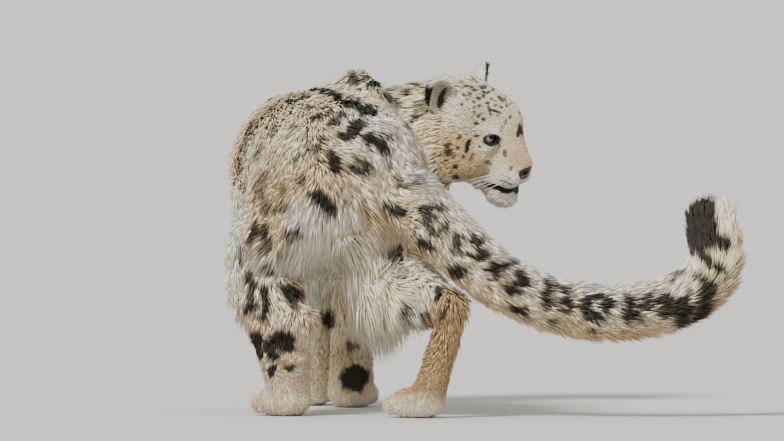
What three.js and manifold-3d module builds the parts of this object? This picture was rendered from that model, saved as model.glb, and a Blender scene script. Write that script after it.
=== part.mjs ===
// A life-size snow leopard standing on the floor, seen from behind as it looks over its right side.
// Millimetres. +X runs to the right of that view, +Y away from it and +Z up. The floor is z = 0.
// The body is one blended surface, given as a distance to it. Each sub-part is meshed from that
// surface, and flat cuts with a thin gap part it from its neighbours.
import * as THREE from "three";
import Module from "manifold-3d";

const wasm = await Module();
wasm.setup();

// Driving sizes
const GAP = 0.3;
const EYE_RADIUS = 15;
const PAW = { length: 58, width: 45, height: 31 };
const TOE = { length: 25, width: 15, height: 19, count: 4, spread: 66 };
const EAR = { height: 41, width: 29, depth: 20, wall: 9 };
const HIND_HEADING = [-0.57, 0.82, 0];
const FORE_HEADING = [0.12, 0.99, 0];

// Small vector helpers on plain arrays
const add = (p, q) => [p[0] + q[0], p[1] + q[1], p[2] + q[2]];
const sub = (p, q) => [p[0] - q[0], p[1] - q[1], p[2] - q[2]];
const mul = (p, k) => [p[0] * k, p[1] * k, p[2] * k];
const dot = (p, q) => p[0] * q[0] + p[1] * q[1] + p[2] * q[2];
const cross = (p, q) => [
  p[1] * q[2] - p[2] * q[1],
  p[2] * q[0] - p[0] * q[2],
  p[0] * q[1] - p[1] * q[0],
];
const unit = (p) => mul(p, 1 / Math.hypot(...p));
const mix = (a, b, t) => a + (b - a) * t;
const mixPoint = (p, q, t) => [mix(p[0], q[0], t), mix(p[1], q[1], t), mix(p[2], q[2], t)];
const leftOf = (heading) => unit(cross([0, 0, 1], heading));

// Stations of each limb: the centre, half the width across and half the depth
const SPINE = [
  { at: [-45, 45, 468], wide: 80, deep: 80 },
  { at: [-80, 95, 454], wide: 122, deep: 130 },
  { at: [-135, 195, 446], wide: 128, deep: 143 },
  { at: [-160, 315, 434], wide: 134, deep: 148 },
  { at: [-148, 430, 428], wide: 137, deep: 156 },
  { at: [-90, 535, 430], wide: 124, deep: 154 },
  { at: [-18, 595, 456], wide: 106, deep: 128 },
  { at: [48, 615, 492], wide: 94, deep: 102 },
  { at: [105, 606, 514], wide: 84, deep: 90 },
];
const TAIL = [
  { at: [-60, 55, 492], wide: 66, deep: 66 },
  { at: [-43, 25, 488], wide: 64, deep: 64 },
  { at: [11, -10, 424], wide: 60, deep: 60 },
  { at: [68, -36, 361], wide: 58, deep: 58 },
  { at: [137, -60, 295], wide: 55, deep: 55 },
  { at: [194, -66, 250], wide: 53, deep: 53 },
  { at: [266, -60, 214], wide: 52, deep: 52 },
  { at: [326, -58, 199], wide: 52, deep: 52 },
  { at: [385, -56, 192], wide: 52, deep: 52 },
  { at: [446, -54, 197], wide: 52, deep: 52 },
  { at: [499, -50, 210], wide: 52, deep: 52 },
  { at: [549, -46, 237], wide: 52, deep: 52 },
  { at: [577, -42, 280], wide: 53, deep: 53 },
  { at: [576, -40, 344], wide: 50, deep: 50 },
];
const LEGS = {
  hindleg_left: {
    heading: HIND_HEADING,
    stations: [
      { at: [-138, 45, 438], wide: 74, deep: 95 },
      { at: [-190, 95, 365], wide: 74, deep: 90 },
      { at: [-234, 140, 288], wide: 66, deep: 70 },
      { at: [-218, 112, 216], wide: 58, deep: 68 },
      { at: [-202, 88, 158], wide: 52, deep: 60 },
      { at: [-194, 80, 112], wide: 48, deep: 50 },
      { at: [-188, 86, 68], wide: 44, deep: 42 },
      { at: [-186, 92, 38], wide: 42, deep: 38 },
    ],
    heel: { at: [-166, 48, 172], radius: 34 },
    paw: [-196, 112, 27],
  },
  hindleg_right: {
    heading: HIND_HEADING,
    stations: [
      { at: [-25, 100, 438], wide: 78, deep: 98 },
      { at: [-20, 116, 345], wide: 76, deep: 92 },
      { at: [-8, 122, 255], wide: 64, deep: 68 },
      { at: [40, 38, 232], wide: 48, deep: 54 },
      { at: [86, -34, 214], wide: 34, deep: 36 },
      { at: [102, -48, 196], wide: 28, deep: 29 },
      { at: [99, -50, 158], wide: 28, deep: 28 },
      { at: [86, -40, 110], wide: 28, deep: 28 },
      { at: [73, -30, 66], wide: 30, deep: 30 },
      { at: [62, -18, 38], wide: 36, deep: 32 },
    ],
    heel: { at: [106, -54, 206], radius: 25 },
    paw: [44, 4, 27],
  },
  foreleg_left: {
    heading: FORE_HEADING,
    stations: [
      { at: [-140, 575, 420], wide: 66, deep: 88 },
      { at: [-139, 566, 262], wide: 47, deep: 54 },
      { at: [-138, 582, 205], wide: 41, deep: 45 },
      { at: [-138, 602, 112], wide: 38, deep: 39 },
      { at: [-143, 616, 62], wide: 41, deep: 39 },
      { at: [-146, 626, 38], wide: 42, deep: 38 },
    ],
    paw: [-152, 648, 27],
  },
  foreleg_right: {
    heading: FORE_HEADING,
    stations: [
      { at: [-45, 530, 420], wide: 66, deep: 86 },
      { at: [-61, 498, 262], wide: 46, deep: 54 },
      { at: [-68, 506, 205], wide: 42, deep: 46 },
      { at: [-73, 520, 112], wide: 39, deep: 40 },
      { at: [-74, 528, 62], wide: 42, deep: 40 },
      { at: [-74, 536, 38], wide: 43, deep: 39 },
    ],
    paw: [-73, 552, 27],
  },
};
// How far the dense core of the coat lies under the tips of its locks
const CORE_DEPTH = { tail: 9, belly: 10 };
const BLENDS = { leg: 55, tail: 45, head: 34, limbSteps: 3, paw: 14, toe: 9, heel: 34 };

// The right shoulder blade stands up beside the turned neck, and the left one is lower.
const BLADES = [
  { at: [-60, 522, 560], radii: [50, 56, 56] },
  { at: [-125, 565, 530], radii: [48, 60, 52] },
];

// The head has its own frame: x to the nose, y to its left, z up, from between the ears at eye height.
const HEAD_AT = [137, 586, 510];
const HEAD_TURN = { yaw: 27, nod: 20, tilt: 14 };
const headFrame = (() => {
  const [yaw, nod, tilt] = [HEAD_TURN.yaw, HEAD_TURN.nod, HEAD_TURN.tilt].map(THREE.MathUtils.degToRad);
  const forward = [Math.cos(yaw) * Math.cos(nod), -Math.sin(yaw) * Math.cos(nod), -Math.sin(nod)];
  const level = [Math.sin(yaw), Math.cos(yaw), 0];
  const raised = cross(forward, level);
  const left = add(mul(level, Math.cos(tilt)), mul(raised, Math.sin(tilt)));
  return { forward, left, up: cross(forward, left) };
})();
const toHead = (p) => {
  const q = sub(p, HEAD_AT);
  return [dot(q, headFrame.forward), dot(q, headFrame.left), dot(q, headFrame.up)];
};
const turnFromHead = (v) =>
  add(add(mul(headFrame.forward, v[0]), mul(headFrame.left, v[1])), mul(headFrame.up, v[2]));
const fromHead = (v) => add(HEAD_AT, turnFromHead(v));

// Forms of the head, mirrored where they have a side
const HEAD_FORMS = [
  { at: [2, 0, 9], radii: [88, 70, 68], blend: 1 },
  { at: [0, 0, 42], radii: [62, 54, 50], blend: 24 },
  { at: [50, 0, 33], radii: [54, 55, 49], blend: 20 },
  { at: [14, 44, -36], radii: [58, 38, 50], blend: 26, paired: true },
  { at: [46, 42, -12], radii: [32, 22, 26], blend: 20, paired: true },
  { at: [64, 28, 32], radii: [20, 20, 13], blend: 14, paired: true },
  { at: [80, 0, -36], radii: [46, 39, 37], blend: 22 },
  { at: [109, 18, -50], radii: [28, 22, 23], blend: 12, paired: true },
  { at: [50, 0, -66], radii: [62, 36, 30], blend: 18 },
  { at: [100, 0, -87], radii: [28, 25, 22], blend: 16 },
];
const BRIDGE = { from: [74, 0, 24], to: [125, 0, -24], start: 33, end: 18, blend: 16 };
const MOUTH = { at: [104, 0, -72], radii: [44, 44, 2.6], slope: 4 };
const NOSE = { at: [129, 0, -31], radii: [15, 19, 14] };
const NOSTRIL = { at: [142, 9.5, -34], radii: [8, 4.5, 4] };
const EYE_AT = [61, 37, 13.5];
const EYE_LOOK = unit([0.86, 0.5, 0.05]);
const LIDS = { thick: 4, open: [13, 13.5, 10], blend: 10 };
const EAR_AT = { left: [-22, 62, 64], right: [-31, 68, 72] };
const EAR_AXIS = unit([-10, 26, 55]);
const EAR_FACE = [0.78, 0.6, 0];

// Distance to an ellipsoid whose axes are the frame's own
function ellipsoid(p, at, radii) {
  const q = sub(p, at);
  const r = Math.hypot(q[0] / radii[0], q[1] / radii[1], q[2] / radii[2]);
  if (r < 1e-6) return -Math.min(...radii);
  return Math.hypot(...q) * (1 - 1 / r);
}

function roundCone(p, from, to, start, end) {
  const axis = sub(to, from);
  const t = THREE.MathUtils.clamp(dot(sub(p, from), axis) / dot(axis, axis), 0, 1);
  return Math.hypot(...sub(p, add(from, mul(axis, t)))) - mix(start, end, t);
}

function blend(a, b, k) {
  const h = Math.max(k - Math.abs(a - b), 0) / k;
  return Math.min(a, b) - (h * h * k) / 4;
}
const carve = (a, b, k) => -blend(-a, b, k);

// A limb follows a smooth curve through its stations, with an oval section.
function makeLimb(stations, across, steps) {
  const centres = stations.map((s) => new THREE.Vector3(...s.at));
  const curve = new THREE.CatmullRomCurve3(centres, false, "centripetal");
  const sizes = (key) => new THREE.SplineCurve(stations.map((s) => new THREE.Vector2(s[key], 0)));
  const [wide, deep] = [sizes("wide"), sizes("deep")];
  const count = (stations.length - 1) * steps;
  const rings = Array.from({ length: count + 1 }, (_, i) => {
    const t = i / count;
    const along = curve.getTangent(t).toArray();
    const side = across ?? unit(cross([0, 0, 1], along));
    return {
      at: curve.getPoint(t).toArray(),
      along,
      side: unit(sub(side, mul(along, dot(side, along)))),
      wide: wide.getPoint(t).x,
      deep: deep.getPoint(t).x,
    };
  });
  const pieces = rings.slice(1).map((ring, i) => {
    const axis = sub(ring.at, rings[i].at);
    return { from: rings[i], to: ring, axis, inverse: 1 / dot(axis, axis), tangent: unit(axis) };
  });
  return { rings, pieces };
}

function limbDistance(p, limb) {
  let best = Infinity;
  for (const { from, to, axis, inverse, tangent } of limb.pieces) {
    const t = THREE.MathUtils.clamp(dot(sub(p, from.at), axis) * inverse, 0, 1);
    const q = sub(p, add(from.at, mul(axis, t)));
    const far = Math.hypot(...q);
    const [wide, deep] = [mix(from.wide, to.wide, t), mix(from.deep, to.deep, t)];
    if (far - Math.max(wide, deep) > best) continue;
    const side = mixPoint(from.side, to.side, t);
    const u = dot(q, side) / wide;
    const v = dot(q, cross(tangent, side)) / deep;
    const w = dot(q, tangent) / Math.min(wide, deep);
    const r = Math.hypot(u, v, w);
    best = Math.min(best, r < 1e-6 ? -Math.min(wide, deep) : far * (1 - 1 / r));
  }
  return best;
}

const spine = makeLimb(SPINE, null, BLENDS.limbSteps);
const tailCore = TAIL.map(({ at, wide, deep }, i) => {
  const thin = i < 3 ? 0 : CORE_DEPTH.tail;
  return { at, wide: wide - thin, deep: deep - thin };
});
const tail = makeLimb(tailCore, [0, 1, 0], 2);
const legs = Object.fromEntries(
  Object.entries(LEGS).map(([name, leg]) => [name, makeLimb(leg.stations, leftOf(leg.heading), 2)]),
);

// A paw is an oval pad with its toes in an arc at the front.
function pawDistance(p, { paw, heading }) {
  const side = leftOf(heading);
  const q = sub(p, paw);
  const local = [dot(q, heading), dot(q, side), q[2]];
  let d = ellipsoid(local, [0, 0, 0], [PAW.length, PAW.width, PAW.height]);
  for (let i = 0; i < TOE.count; i++) {
    const s = i / (TOE.count - 1) - 0.5;
    const toe = [PAW.length * (0.72 - 0.9 * s * s), s * TOE.spread, -4];
    d = blend(d, ellipsoid(local, toe, [TOE.length, TOE.width, TOE.height]), BLENDS.toe);
  }
  return d;
}

// The neck end of the spine, which alone meets the head
const neck = { pieces: spine.pieces.slice(5 * BLENDS.limbSteps) };

function coreDistance(p) {
  let d = limbDistance(p, spine);
  for (const { at, radii } of BLADES) d = blend(d, ellipsoid(p, at, radii), 40);
  return d + CORE_DEPTH.belly * THREE.MathUtils.smoothstep(-p[2], -400, -330);
}

function legDistance(p, name) {
  const leg = LEGS[name];
  let d = limbDistance(p, legs[name]);
  if (leg.heel) d = blend(d, ellipsoid(p, leg.heel.at, Array(3).fill(leg.heel.radius)), BLENDS.heel);
  return blend(d, pawDistance(p, leg), BLENDS.paw);
}

function headDistance(world) {
  const p = toHead(world);
  let d = Infinity;
  const mirrored = [p[0], Math.abs(p[1]), p[2]];
  for (const { at, radii, blend: k, paired } of HEAD_FORMS) {
    d = blend(d, ellipsoid(paired ? mirrored : p, at, radii), k);
  }
  d = blend(d, roundCone(p, BRIDGE.from, BRIDGE.to, BRIDGE.start, BRIDGE.end), BRIDGE.blend);
  d = blend(d, ellipsoid(p, NOSE.at, NOSE.radii), 6);
  const lid = ellipsoid(mirrored, EYE_AT, Array(3).fill(EYE_RADIUS + LIDS.thick));
  d = blend(d, lid, LIDS.blend);
  const opening = add(EYE_AT, mul(EYE_LOOK, EYE_RADIUS + 3));
  const q = sub(mirrored, opening);
  const across = unit(cross([0, 0, 1], EYE_LOOK));
  const seen = [dot(q, EYE_LOOK), dot(q, across), dot(q, cross(EYE_LOOK, across))];
  d = carve(d, ellipsoid(seen, [0, 0, 0], LIDS.open), 3);
  const smile = [p[0], p[1], p[2] - (MOUTH.slope * p[1] * p[1]) / (MOUTH.radii[1] * MOUTH.radii[1])];
  d = carve(d, ellipsoid(smile, MOUTH.at, MOUTH.radii), 5);
  return carve(d, ellipsoid(mirrored, NOSTRIL.at, NOSTRIL.radii), 3);
}

// Planes that part the nodes: the normal points to the outer piece.
const tailPlane = (i) => ({ at: TAIL[i].at, normal: tail.rings[i * 2].along });

// Upright planes between the legs of a pair: the normal points to the left leg.
const HIND_MIDDLE = { at: [-105, 110, 300], normal: leftOf(HIND_HEADING) };
const FORE_MIDDLE = { at: [-103, 534, 330], normal: unit([-75, 72, 0]) };
const CUTS = {
  hindleg_left: { at: [-167, 71, 420], normal: unit([-0.62, -0.15, -0.77]) },
  hindleg_right: { at: [-22, 110, 372], normal: unit([0.45, 0.62, -0.64]) },
  foreleg_left: { at: [-160, 505, 335], normal: unit([-0.42, 0.3, -0.82]) },
  foreleg_right: { at: [-50, 462, 335], normal: unit([0.36, 0.42, -0.8]) },
  neck: { at: SPINE[6].at, normal: spine.rings[6 * BLENDS.limbSteps].along },
  head: { at: fromHead([-62, 0, 0]), normal: unit(turnFromHead([1, 0.2, 0.42])) },
  tail: tailPlane(3),
};
const headAndNeck = (p) => blend(limbDistance(p, neck), headDistance(p), BLENDS.head);
const planeDistance = (p, { at, normal }) => dot(sub(p, at), normal);
const flip = ({ at, normal }) => ({ at, normal: mul(normal, -1) });

// The surface of the core with one limb grown onto it
const limbs = { tail: (p) => limbDistance(p, tail) };
for (const name of Object.keys(LEGS)) limbs[name] = (p) => legDistance(p, name);
const grown = (p, name) => blend(coreDistance(p), limbs[name](p), BLENDS[name] ?? BLENDS.leg);

// Corners of a cell, and its twelve edges as pairs of corners
const CORNERS = [0, 1, 2, 3, 4, 5, 6, 7].map((c) => [c & 1, (c >> 1) & 1, c >> 2]);
const EDGES = CORNERS.flatMap((_, i) =>
  CORNERS.map((_, j) => [i, j]).filter(([, j]) => j > i && [1, 2, 4].includes(i ^ j)),
);

// The faces of a cell, each as its corners in order round it
const CELL_FACES = [
  [0, 1, 3, 2],
  [4, 5, 7, 6],
  [0, 1, 5, 4],
  [2, 3, 7, 6],
  [0, 2, 6, 4],
  [1, 3, 7, 5],
];

// True for each pattern of inside corners where the surface would meet itself: a face whose
// corners change side four times, or corners of one side in two separate pieces.
const SPLIT = Array.from({ length: 256 }, (_, mask) => {
  const inside = (c) => (mask >> c) & 1;
  if (CELL_FACES.some((f) => f.every((c, i) => inside(c) !== inside(f[(i + 1) % 4])))) return true;
  return [mask, 255 - mask].some((set) => {
    let reached = set & -set;
    for (let i = 0; i < 8; i++)
      for (const [a, b] of EDGES) {
        const both = (1 << a) | (1 << b);
        if ((set & both) === both && reached & both) reached |= both;
      }
    return reached !== set;
  });
});

// Samples a distance on a grid. A block far from the surface is filled from its middle.
function sample(distance, low, cell, n) {
  const value = new Float64Array(n[0] * n[1] * n[2]).fill(cell);
  const block = 4;
  const reach = (block * cell * Math.sqrt(3)) / 2;
  for (let k = 1; k < n[2] - 1; k += block)
    for (let j = 1; j < n[1] - 1; j += block)
      for (let i = 1; i < n[0] - 1; i += block) {
        const middle = [i, j, k].map((v, s) => low[s] + (v + (block - 1) / 2) * cell);
        const d = distance(middle);
        const far = Math.abs(d) > reach * 1.5;
        for (let c = k; c < Math.min(k + block, n[2] - 1); c++)
          for (let b = j; b < Math.min(j + block, n[1] - 1); b++)
            for (let a = i; a < Math.min(i + block, n[0] - 1); a++) {
              const p = [low[0] + a * cell, low[1] + b * cell, low[2] + c * cell];
              value[(c * n[1] + b) * n[0] + a] = far ? d : distance(p) || 1e-9;
            }
      }
  return value;
}

// Empties the weakest corner of each cell whose surface would meet itself, until none does.
function mend(value, n) {
  const offsets = CORNERS.map(([a, b, c]) => (c * n[1] + b) * n[0] + a);
  for (let turned = 1; turned; ) {
    turned = 0;
    for (let k = 0; k < n[2] - 1; k++)
      for (let j = 0; j < n[1] - 1; j++)
        for (let i = 0; i < n[0] - 1; i++) {
          const at = (k * n[1] + j) * n[0] + i;
          const mask = offsets.reduce((m, o, c) => m | (value[at + o] < 0 ? 1 << c : 0), 0);
          if (!SPLIT[mask]) continue;
          const full = offsets.filter((o) => value[at + o] < 0);
          const weakest = full.reduce((o, q) => (value[at + q] > value[at + o] ? q : o));
          value[at + weakest] *= -1;
          turned++;
        }
  }
}

// Meshes a distance function inside a box: one point in each cell that the surface crosses.
function surfaceNet(distance, low, high, cell) {
  const n = [0, 1, 2].map((i) => Math.ceil((high[i] - low[i]) / cell) + 1);
  const at = (i, j, k) => (k * n[1] + j) * n[0] + i;
  const place = (i, j, k) => [low[0] + i * cell, low[1] + j * cell, low[2] + k * cell];
  const value = sample(distance, low, cell, n);
  mend(value, n);
  const points = [];
  const index = new Int32Array(value.length).fill(-1);
  for (let k = 0; k < n[2] - 1; k++)
    for (let j = 0; j < n[1] - 1; j++)
      for (let i = 0; i < n[0] - 1; i++) {
        const v = CORNERS.map(([a, b, c]) => value[at(i + a, j + b, k + c)]);
        if (v.every((x) => x < 0) || v.every((x) => x > 0)) continue;
        let sum = [0, 0, 0];
        let crossed = 0;
        for (const [a, b] of EDGES) {
          if (v[a] < 0 === v[b] < 0) continue;
          sum = add(sum, mixPoint(CORNERS[a], CORNERS[b], v[a] / (v[a] - v[b])));
          crossed++;
        }
        index[at(i, j, k)] = points.length;
        points.push(add(place(i, j, k), mul(sum, cell / crossed)));
      }
  const faces = [];
  const steps = [[1, 0, 0], [0, 1, 0], [0, 0, 1]];
  for (let k = 0; k < n[2] - 1; k++)
    for (let j = 0; j < n[1] - 1; j++)
      for (let i = 0; i < n[0] - 1; i++)
        steps.forEach((step, axis) => {
          if ([i, j, k].some((v, s) => v === 0 && s !== axis)) return;
          const [here, next] = [value[at(i, j, k)], value[at(i + step[0], j + step[1], k + step[2])]];
          if (here < 0 === next < 0) return;
          const [u, v] = [steps[(axis + 1) % 3], steps[(axis + 2) % 3]];
          const back = (s, a, b) => u[s] * a + v[s] * b;
          const cellAt = (a, b) => index[at(i - back(0, a, b), j - back(1, a, b), k - back(2, a, b))];
          const quad = [cellAt(0, 0), cellAt(1, 0), cellAt(1, 1), cellAt(0, 1)];
          if (here > 0) quad.reverse();
          faces.push([quad[0], quad[1], quad[2]], [quad[0], quad[2], quad[3]]);
        });
  return { points: points.map((p) => settle(p, distance, cell)), faces };
}

// Moves a point onto the surface, by no more than half a cell.
function settle(start, distance, cell) {
  let p = start;
  const e = cell * 0.1;
  for (let step = 0; step < 3; step++) {
    const d = distance(p);
    const slope = [0, 1, 2].map((i) => {
      const q = [...p];
      q[i] += e;
      return (distance(q) - d) / e;
    });
    const steep = dot(slope, slope);
    if (steep < 0.05) break;
    p = sub(p, mul(slope, d / steep));
  }
  const moved = sub(p, start);
  const far = Math.hypot(...moved);
  return far > cell / 2 ? add(start, mul(moved, cell / 2 / far)) : p;
}

// Joins edges in order of least change, by their quadric error, until the mesh is coarse enough.
function simplify({ points, faces }, target, weight) {
  points = points.map((p) => [...p]);
  const quadrics = points.map((p) => {
    const w = 1e-3;
    return [w, 0, 0, -w * p[0], w, 0, -w * p[1], w, -w * p[2], w * dot(p, p)];
  });
  const addTo = (q, r) => q.forEach((_, i) => (q[i] += r[i]));
  for (const face of faces) {
    const [a, b, c] = face.map((i) => points[i]);
    const n = cross(sub(b, a), sub(c, a));
    const size = Math.hypot(...n);
    if (size < 1e-9) continue;
    const [x, y, z] = mul(n, 1 / size);
    const d = -dot([x, y, z], a);
    const w = size * (weight ? weight(a) : 1);
    const q = [x * x, x * y, x * z, x * d, y * y, y * z, y * d, z * z, z * d, d * d].map((v) => v * w);
    for (const i of face) addTo(quadrics[i], q);
  }
  const cost = (q, [x, y, z]) =>
    q[0] * x * x + 2 * q[1] * x * y + 2 * q[2] * x * z + 2 * q[3] * x + q[4] * y * y +
    2 * q[5] * y * z + 2 * q[6] * y + q[7] * z * z + 2 * q[8] * z + q[9];
  const best = (q) => {
    const [a, b, c, , e, f, , i] = q;
    const r = [-q[3], -q[6], -q[8]];
    const m = [e * i - f * f, c * f - b * i, b * f - c * e];
    const det = a * m[0] + b * m[1] + c * m[2];
    const n = [a * i - c * c, b * c - a * f, a * e - b * b];
    return [
      (m[0] * r[0] + m[1] * r[1] + m[2] * r[2]) / det,
      (m[1] * r[0] + n[0] * r[1] + n[1] * r[2]) / det,
      (m[2] * r[0] + n[1] * r[1] + n[2] * r[2]) / det,
    ];
  };
  for (let pass = 0; pass < 60 && faces.length > target; pass++) {
    const around = new Map();
    const edges = new Map();
    for (const face of faces)
      face.forEach((i, s) => {
        if (!around.has(i)) around.set(i, []);
        around.get(i).push(face);
        const j = face[(s + 1) % 3];
        if (i < j) edges.set(i * points.length + j, [i, j]);
      });
    const queue = [...edges.values()].map(([i, j]) => {
      const q = quadrics[i].map((v, s) => v + quadrics[j][s]);
      const p = best(q);
      const span = sub(points[i], points[j]);
      return { i, j, q, p, cost: cost(q, p) + 1e-4 * dot(span, span) };
    });
    queue.sort((a, b) => a.cost - b.cost);
    const most = Math.min(queue.length * 0.35, (faces.length - target) / 2 + 1);
    const locked = new Set();
    const gone = new Set();
    let joined = 0;
    for (const { i, j, q, p } of queue.slice(0, Math.ceil(queue.length * 0.6))) {
      if (joined >= most) break;
      if (locked.has(i) || locked.has(j)) continue;
      const ringOf = (v) => new Set(around.get(v).flat().filter((s) => s !== v));
      const [ringI, ringJ] = [ringOf(i), ringOf(j)];
      if ([...ringI].filter((v) => ringJ.has(v)).length !== 2) continue;
      const turns = [i, j].some((v) =>
        around.get(v).some((face) => {
          if (face.includes(i) && face.includes(j)) return false;
          const old = face.map((s) => points[s]);
          const now = face.map((s) => (s === v ? p : points[s]));
          const n = cross(sub(old[1], old[0]), sub(old[2], old[0]));
          const m = cross(sub(now[1], now[0]), sub(now[2], now[0]));
          return dot(n, m) < 0.35 * Math.hypot(...n) * Math.hypot(...m);
        }),
      );
      if (turns) continue;
      for (const v of [...ringI, ...ringJ]) locked.add(v);
      points[i] = p;
      quadrics[i] = q;
      for (const face of around.get(j)) {
        if (face.includes(i)) gone.add(face);
        else face[face.indexOf(j)] = i;
      }
      joined++;
    }
    faces = faces.filter((face) => !gone.has(face));
    if (!joined) break;
  }
  return { points, faces };
}

function solidOf({ points, faces }) {
  return new wasm.Manifold(
    new wasm.Mesh({
      numProp: 3,
      vertProperties: Float32Array.from(points.flat()),
      triVerts: Uint32Array.from(faces.flat()),
    }),
  );
}

const keepBeyond = (solid, { at, normal }) => solid.trimByPlane(normal, dot(normal, at) + GAP / 2);

function largest(solid) {
  return solid.decompose().sort((a, b) => b.volume() - a.volume())[0];
}

// Meshes the part of a surface that lies beyond each of the planes.
const OVERRUN = 2.6;
function region({ distance, low, high, cell, triangles, planes, weight }) {
  const inside = (p) =>
    planes.reduce((d, plane) => Math.max(d, -planeDistance(p, plane) - OVERRUN * cell), distance(p));
  const net = surfaceNet(inside, low, high, cell);
  let solid = solidOf(simplify(net, triangles, weight));
  for (const plane of planes) solid = keepBeyond(solid, plane);
  return largest(solid);
}

// The space a limb's upper piece takes out of the torso, with the gap round it
function spaceBeyond(planes) {
  const block = solidOfGeometry(new THREE.BoxGeometry(900, 900, 900)).translate(planes[0].at);
  return planes.reduce((s, { at, normal }) => s.trimByPlane(normal, dot(normal, at) - GAP / 2), block);
}

const FLOOR = { at: [0, 0, 0], normal: [0, 0, 1] };
const around = (points, reach) => ({
  low: [0, 1, 2].map((i) => Math.min(...points.map((p) => p[i])) - reach),
  high: [0, 1, 2].map((i) => Math.max(...points.map((p) => p[i])) + reach),
});

// A leg is parted at two flat cuts into its upper part, its lower part and its paw.
const LEG_PARTS = {
  hindleg_left: { upper: 2, lower: 6, triangles: [460, 300, 400] },
  hindleg_right: { upper: 2, lower: 8, triangles: [400, 340, 400] },
  foreleg_left: { upper: 1, lower: 4, triangles: [320, 260, 400] },
  foreleg_right: { upper: 1, lower: 4, triangles: [320, 260, 400] },
};
const legPlane = (name, i) => ({ at: LEGS[name].stations[i].at, normal: legs[name].rings[i * 2].along });

// Upright planes that keep an upper piece clear of the other limbs, the flank and the neck
const backward = mul(unit(HIND_HEADING), -1);
const UPPER_SIDES = {
  hindleg_left: [HIND_MIDDLE, { at: [-260, 230, 350], normal: backward }],
  hindleg_right: [flip(HIND_MIDDLE), { at: [-80, 250, 330], normal: backward }],
  foreleg_left: [FORE_MIDDLE, { at: [-140, 455, 300], normal: unit(FORE_HEADING) }],
  foreleg_right: [flip(FORE_MIDDLE), { at: [-50, 425, 300], normal: unit(FORE_HEADING) }, flip(CUTS.neck)],
};
const upperPlanes = (name) => [
  CUTS[name],
  ...UPPER_SIDES[name],
  flip(legPlane(name, LEG_PARTS[name].upper)),
];

// The torso is the core with the start of each limb, less the space of the upper pieces.
function makeTorso() {
  const cell = 11;
  const distance = (p) => {
    let d = coreDistance(p);
    for (const name of Object.keys(limbs)) {
      const beyond = planeDistance(p, CUTS[name]) - OVERRUN * cell;
      if (beyond < d) d = Math.min(d, Math.max(grown(p, name), beyond));
    }
    return d;
  };
  const box = around(SPINE.slice(0, 7).map((s) => s.at), 190);
  let solid = region({ distance, ...box, cell, triangles: 2070, planes: [flip(CUTS.neck), flip(CUTS.tail)] });
  for (const name of Object.keys(LEGS)) solid = solid.subtract(spaceBeyond(upperPlanes(name)));
  return largest(solid);
}

function makeNeck() {
  const joined = (p) => blend(coreDistance(p), headDistance(p), BLENDS.head);
  return region({
    distance: (p) => Math.min(joined(p), grown(p, "foreleg_right")),
    ...around(SPINE.slice(6).map((s) => s.at), 150),
    cell: 9,
    triangles: 560,
    planes: [CUTS.neck, flip(CUTS.head)],
  });
}

function makeLeg(name) {
  const { upper, lower, triangles } = LEG_PARTS[name];
  const { stations, paw } = LEGS[name];
  const alone = limbs[name];
  const [knee, ankle] = [legPlane(name, upper), { at: stations[lower].at, normal: [0, 0, -1] }];
  const at = stations.map((s) => s.at);
  const pieces = {
    upper: [(p) => grown(p, name), around(at.slice(0, upper + 2), 175), 9, upperPlanes(name)],
    lower: [alone, around(at.slice(upper, lower + 1), 95), 7, [knee, flip(ankle)]],
    paw: [alone, around([at[lower], paw], 105), 5, [ankle, FLOOR]],
  };
  return Object.entries(pieces).map(([part, [distance, box, cell, planes]], i) => [
    `${name}_${part}`,
    region({ distance, ...box, cell, triangles: triangles[i], planes }),
  ]);
}

const TAIL_PARTS = [3, 5, 7, 9, 11, null];
function makeTail() {
  return TAIL_PARTS.slice(1).map((end, i) => {
    const start = TAIL_PARTS[i];
    const planes = [tailPlane(start)];
    if (end) planes.push(flip(tailPlane(end)));
    const own = TAIL.slice(start, (end ?? TAIL.length) + 1).map((s) => s.at);
    const distance = (p) => grown(p, "tail");
    return [`tail_${i + 1}`, region({ distance, ...around(own, 95), cell: 8, triangles: 230, planes })];
  });
}

// Head pieces: the eyes sit in round sockets and the ears on flat cuts.
const sphere = (at, radius) => {
  const g = new THREE.IcosahedronGeometry(radius, 3);
  return solidOfGeometry(g).translate(at);
};
function solidOfGeometry(geometry) {
  const position = geometry.getAttribute("position");
  const seen = new Map();
  const points = [];
  const order = Array.from({ length: position.count }, (_, i) => {
    const p = [position.getX(i), position.getY(i), position.getZ(i)];
    const key = p.map((v) => Math.round(v * 1e4)).join();
    if (!seen.has(key)) {
      seen.set(key, points.length);
      points.push(p);
    }
    return seen.get(key);
  });
  const index = geometry.index ? [...geometry.index.array].map((i) => order[i]) : order;
  const faces = [];
  for (let i = 0; i < index.length; i += 3) {
    const face = index.slice(i, i + 3);
    if (new Set(face).size === 3) faces.push(face);
  }
  return solidOf({ points, faces });
}

const sides = { right: -1, left: 1 };
const onSide = (v, side) => [v[0], v[1] * sides[side], v[2]];

function earDistance(world, side) {
  const axis = onSide(EAR_AXIS, side);
  const ahead = unit(sub(onSide(EAR_FACE, side), mul(axis, dot(onSide(EAR_FACE, side), axis))));
  const across = cross(axis, ahead);
  const q = sub(toHead(world), onSide(EAR_AT[side], side));
  const p = [dot(q, ahead), dot(q, across), dot(q, axis)];
  const outer = ellipsoid(p, [0, 0, 0], [EAR.depth, EAR.width, EAR.height]);
  const hollow = ellipsoid(p, [EAR.wall + 4, 0, 3], [EAR.depth - 1, EAR.width - 5, EAR.height - 6]);
  return carve(outer, hollow, 4);
}

const earCut = (side) => ({
  at: fromHead(onSide(add(EAR_AT[side], mul(EAR_AXIS, -EAR.height * 0.42)), side)),
  normal: turnFromHead(onSide(EAR_AXIS, side)),
});

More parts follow.
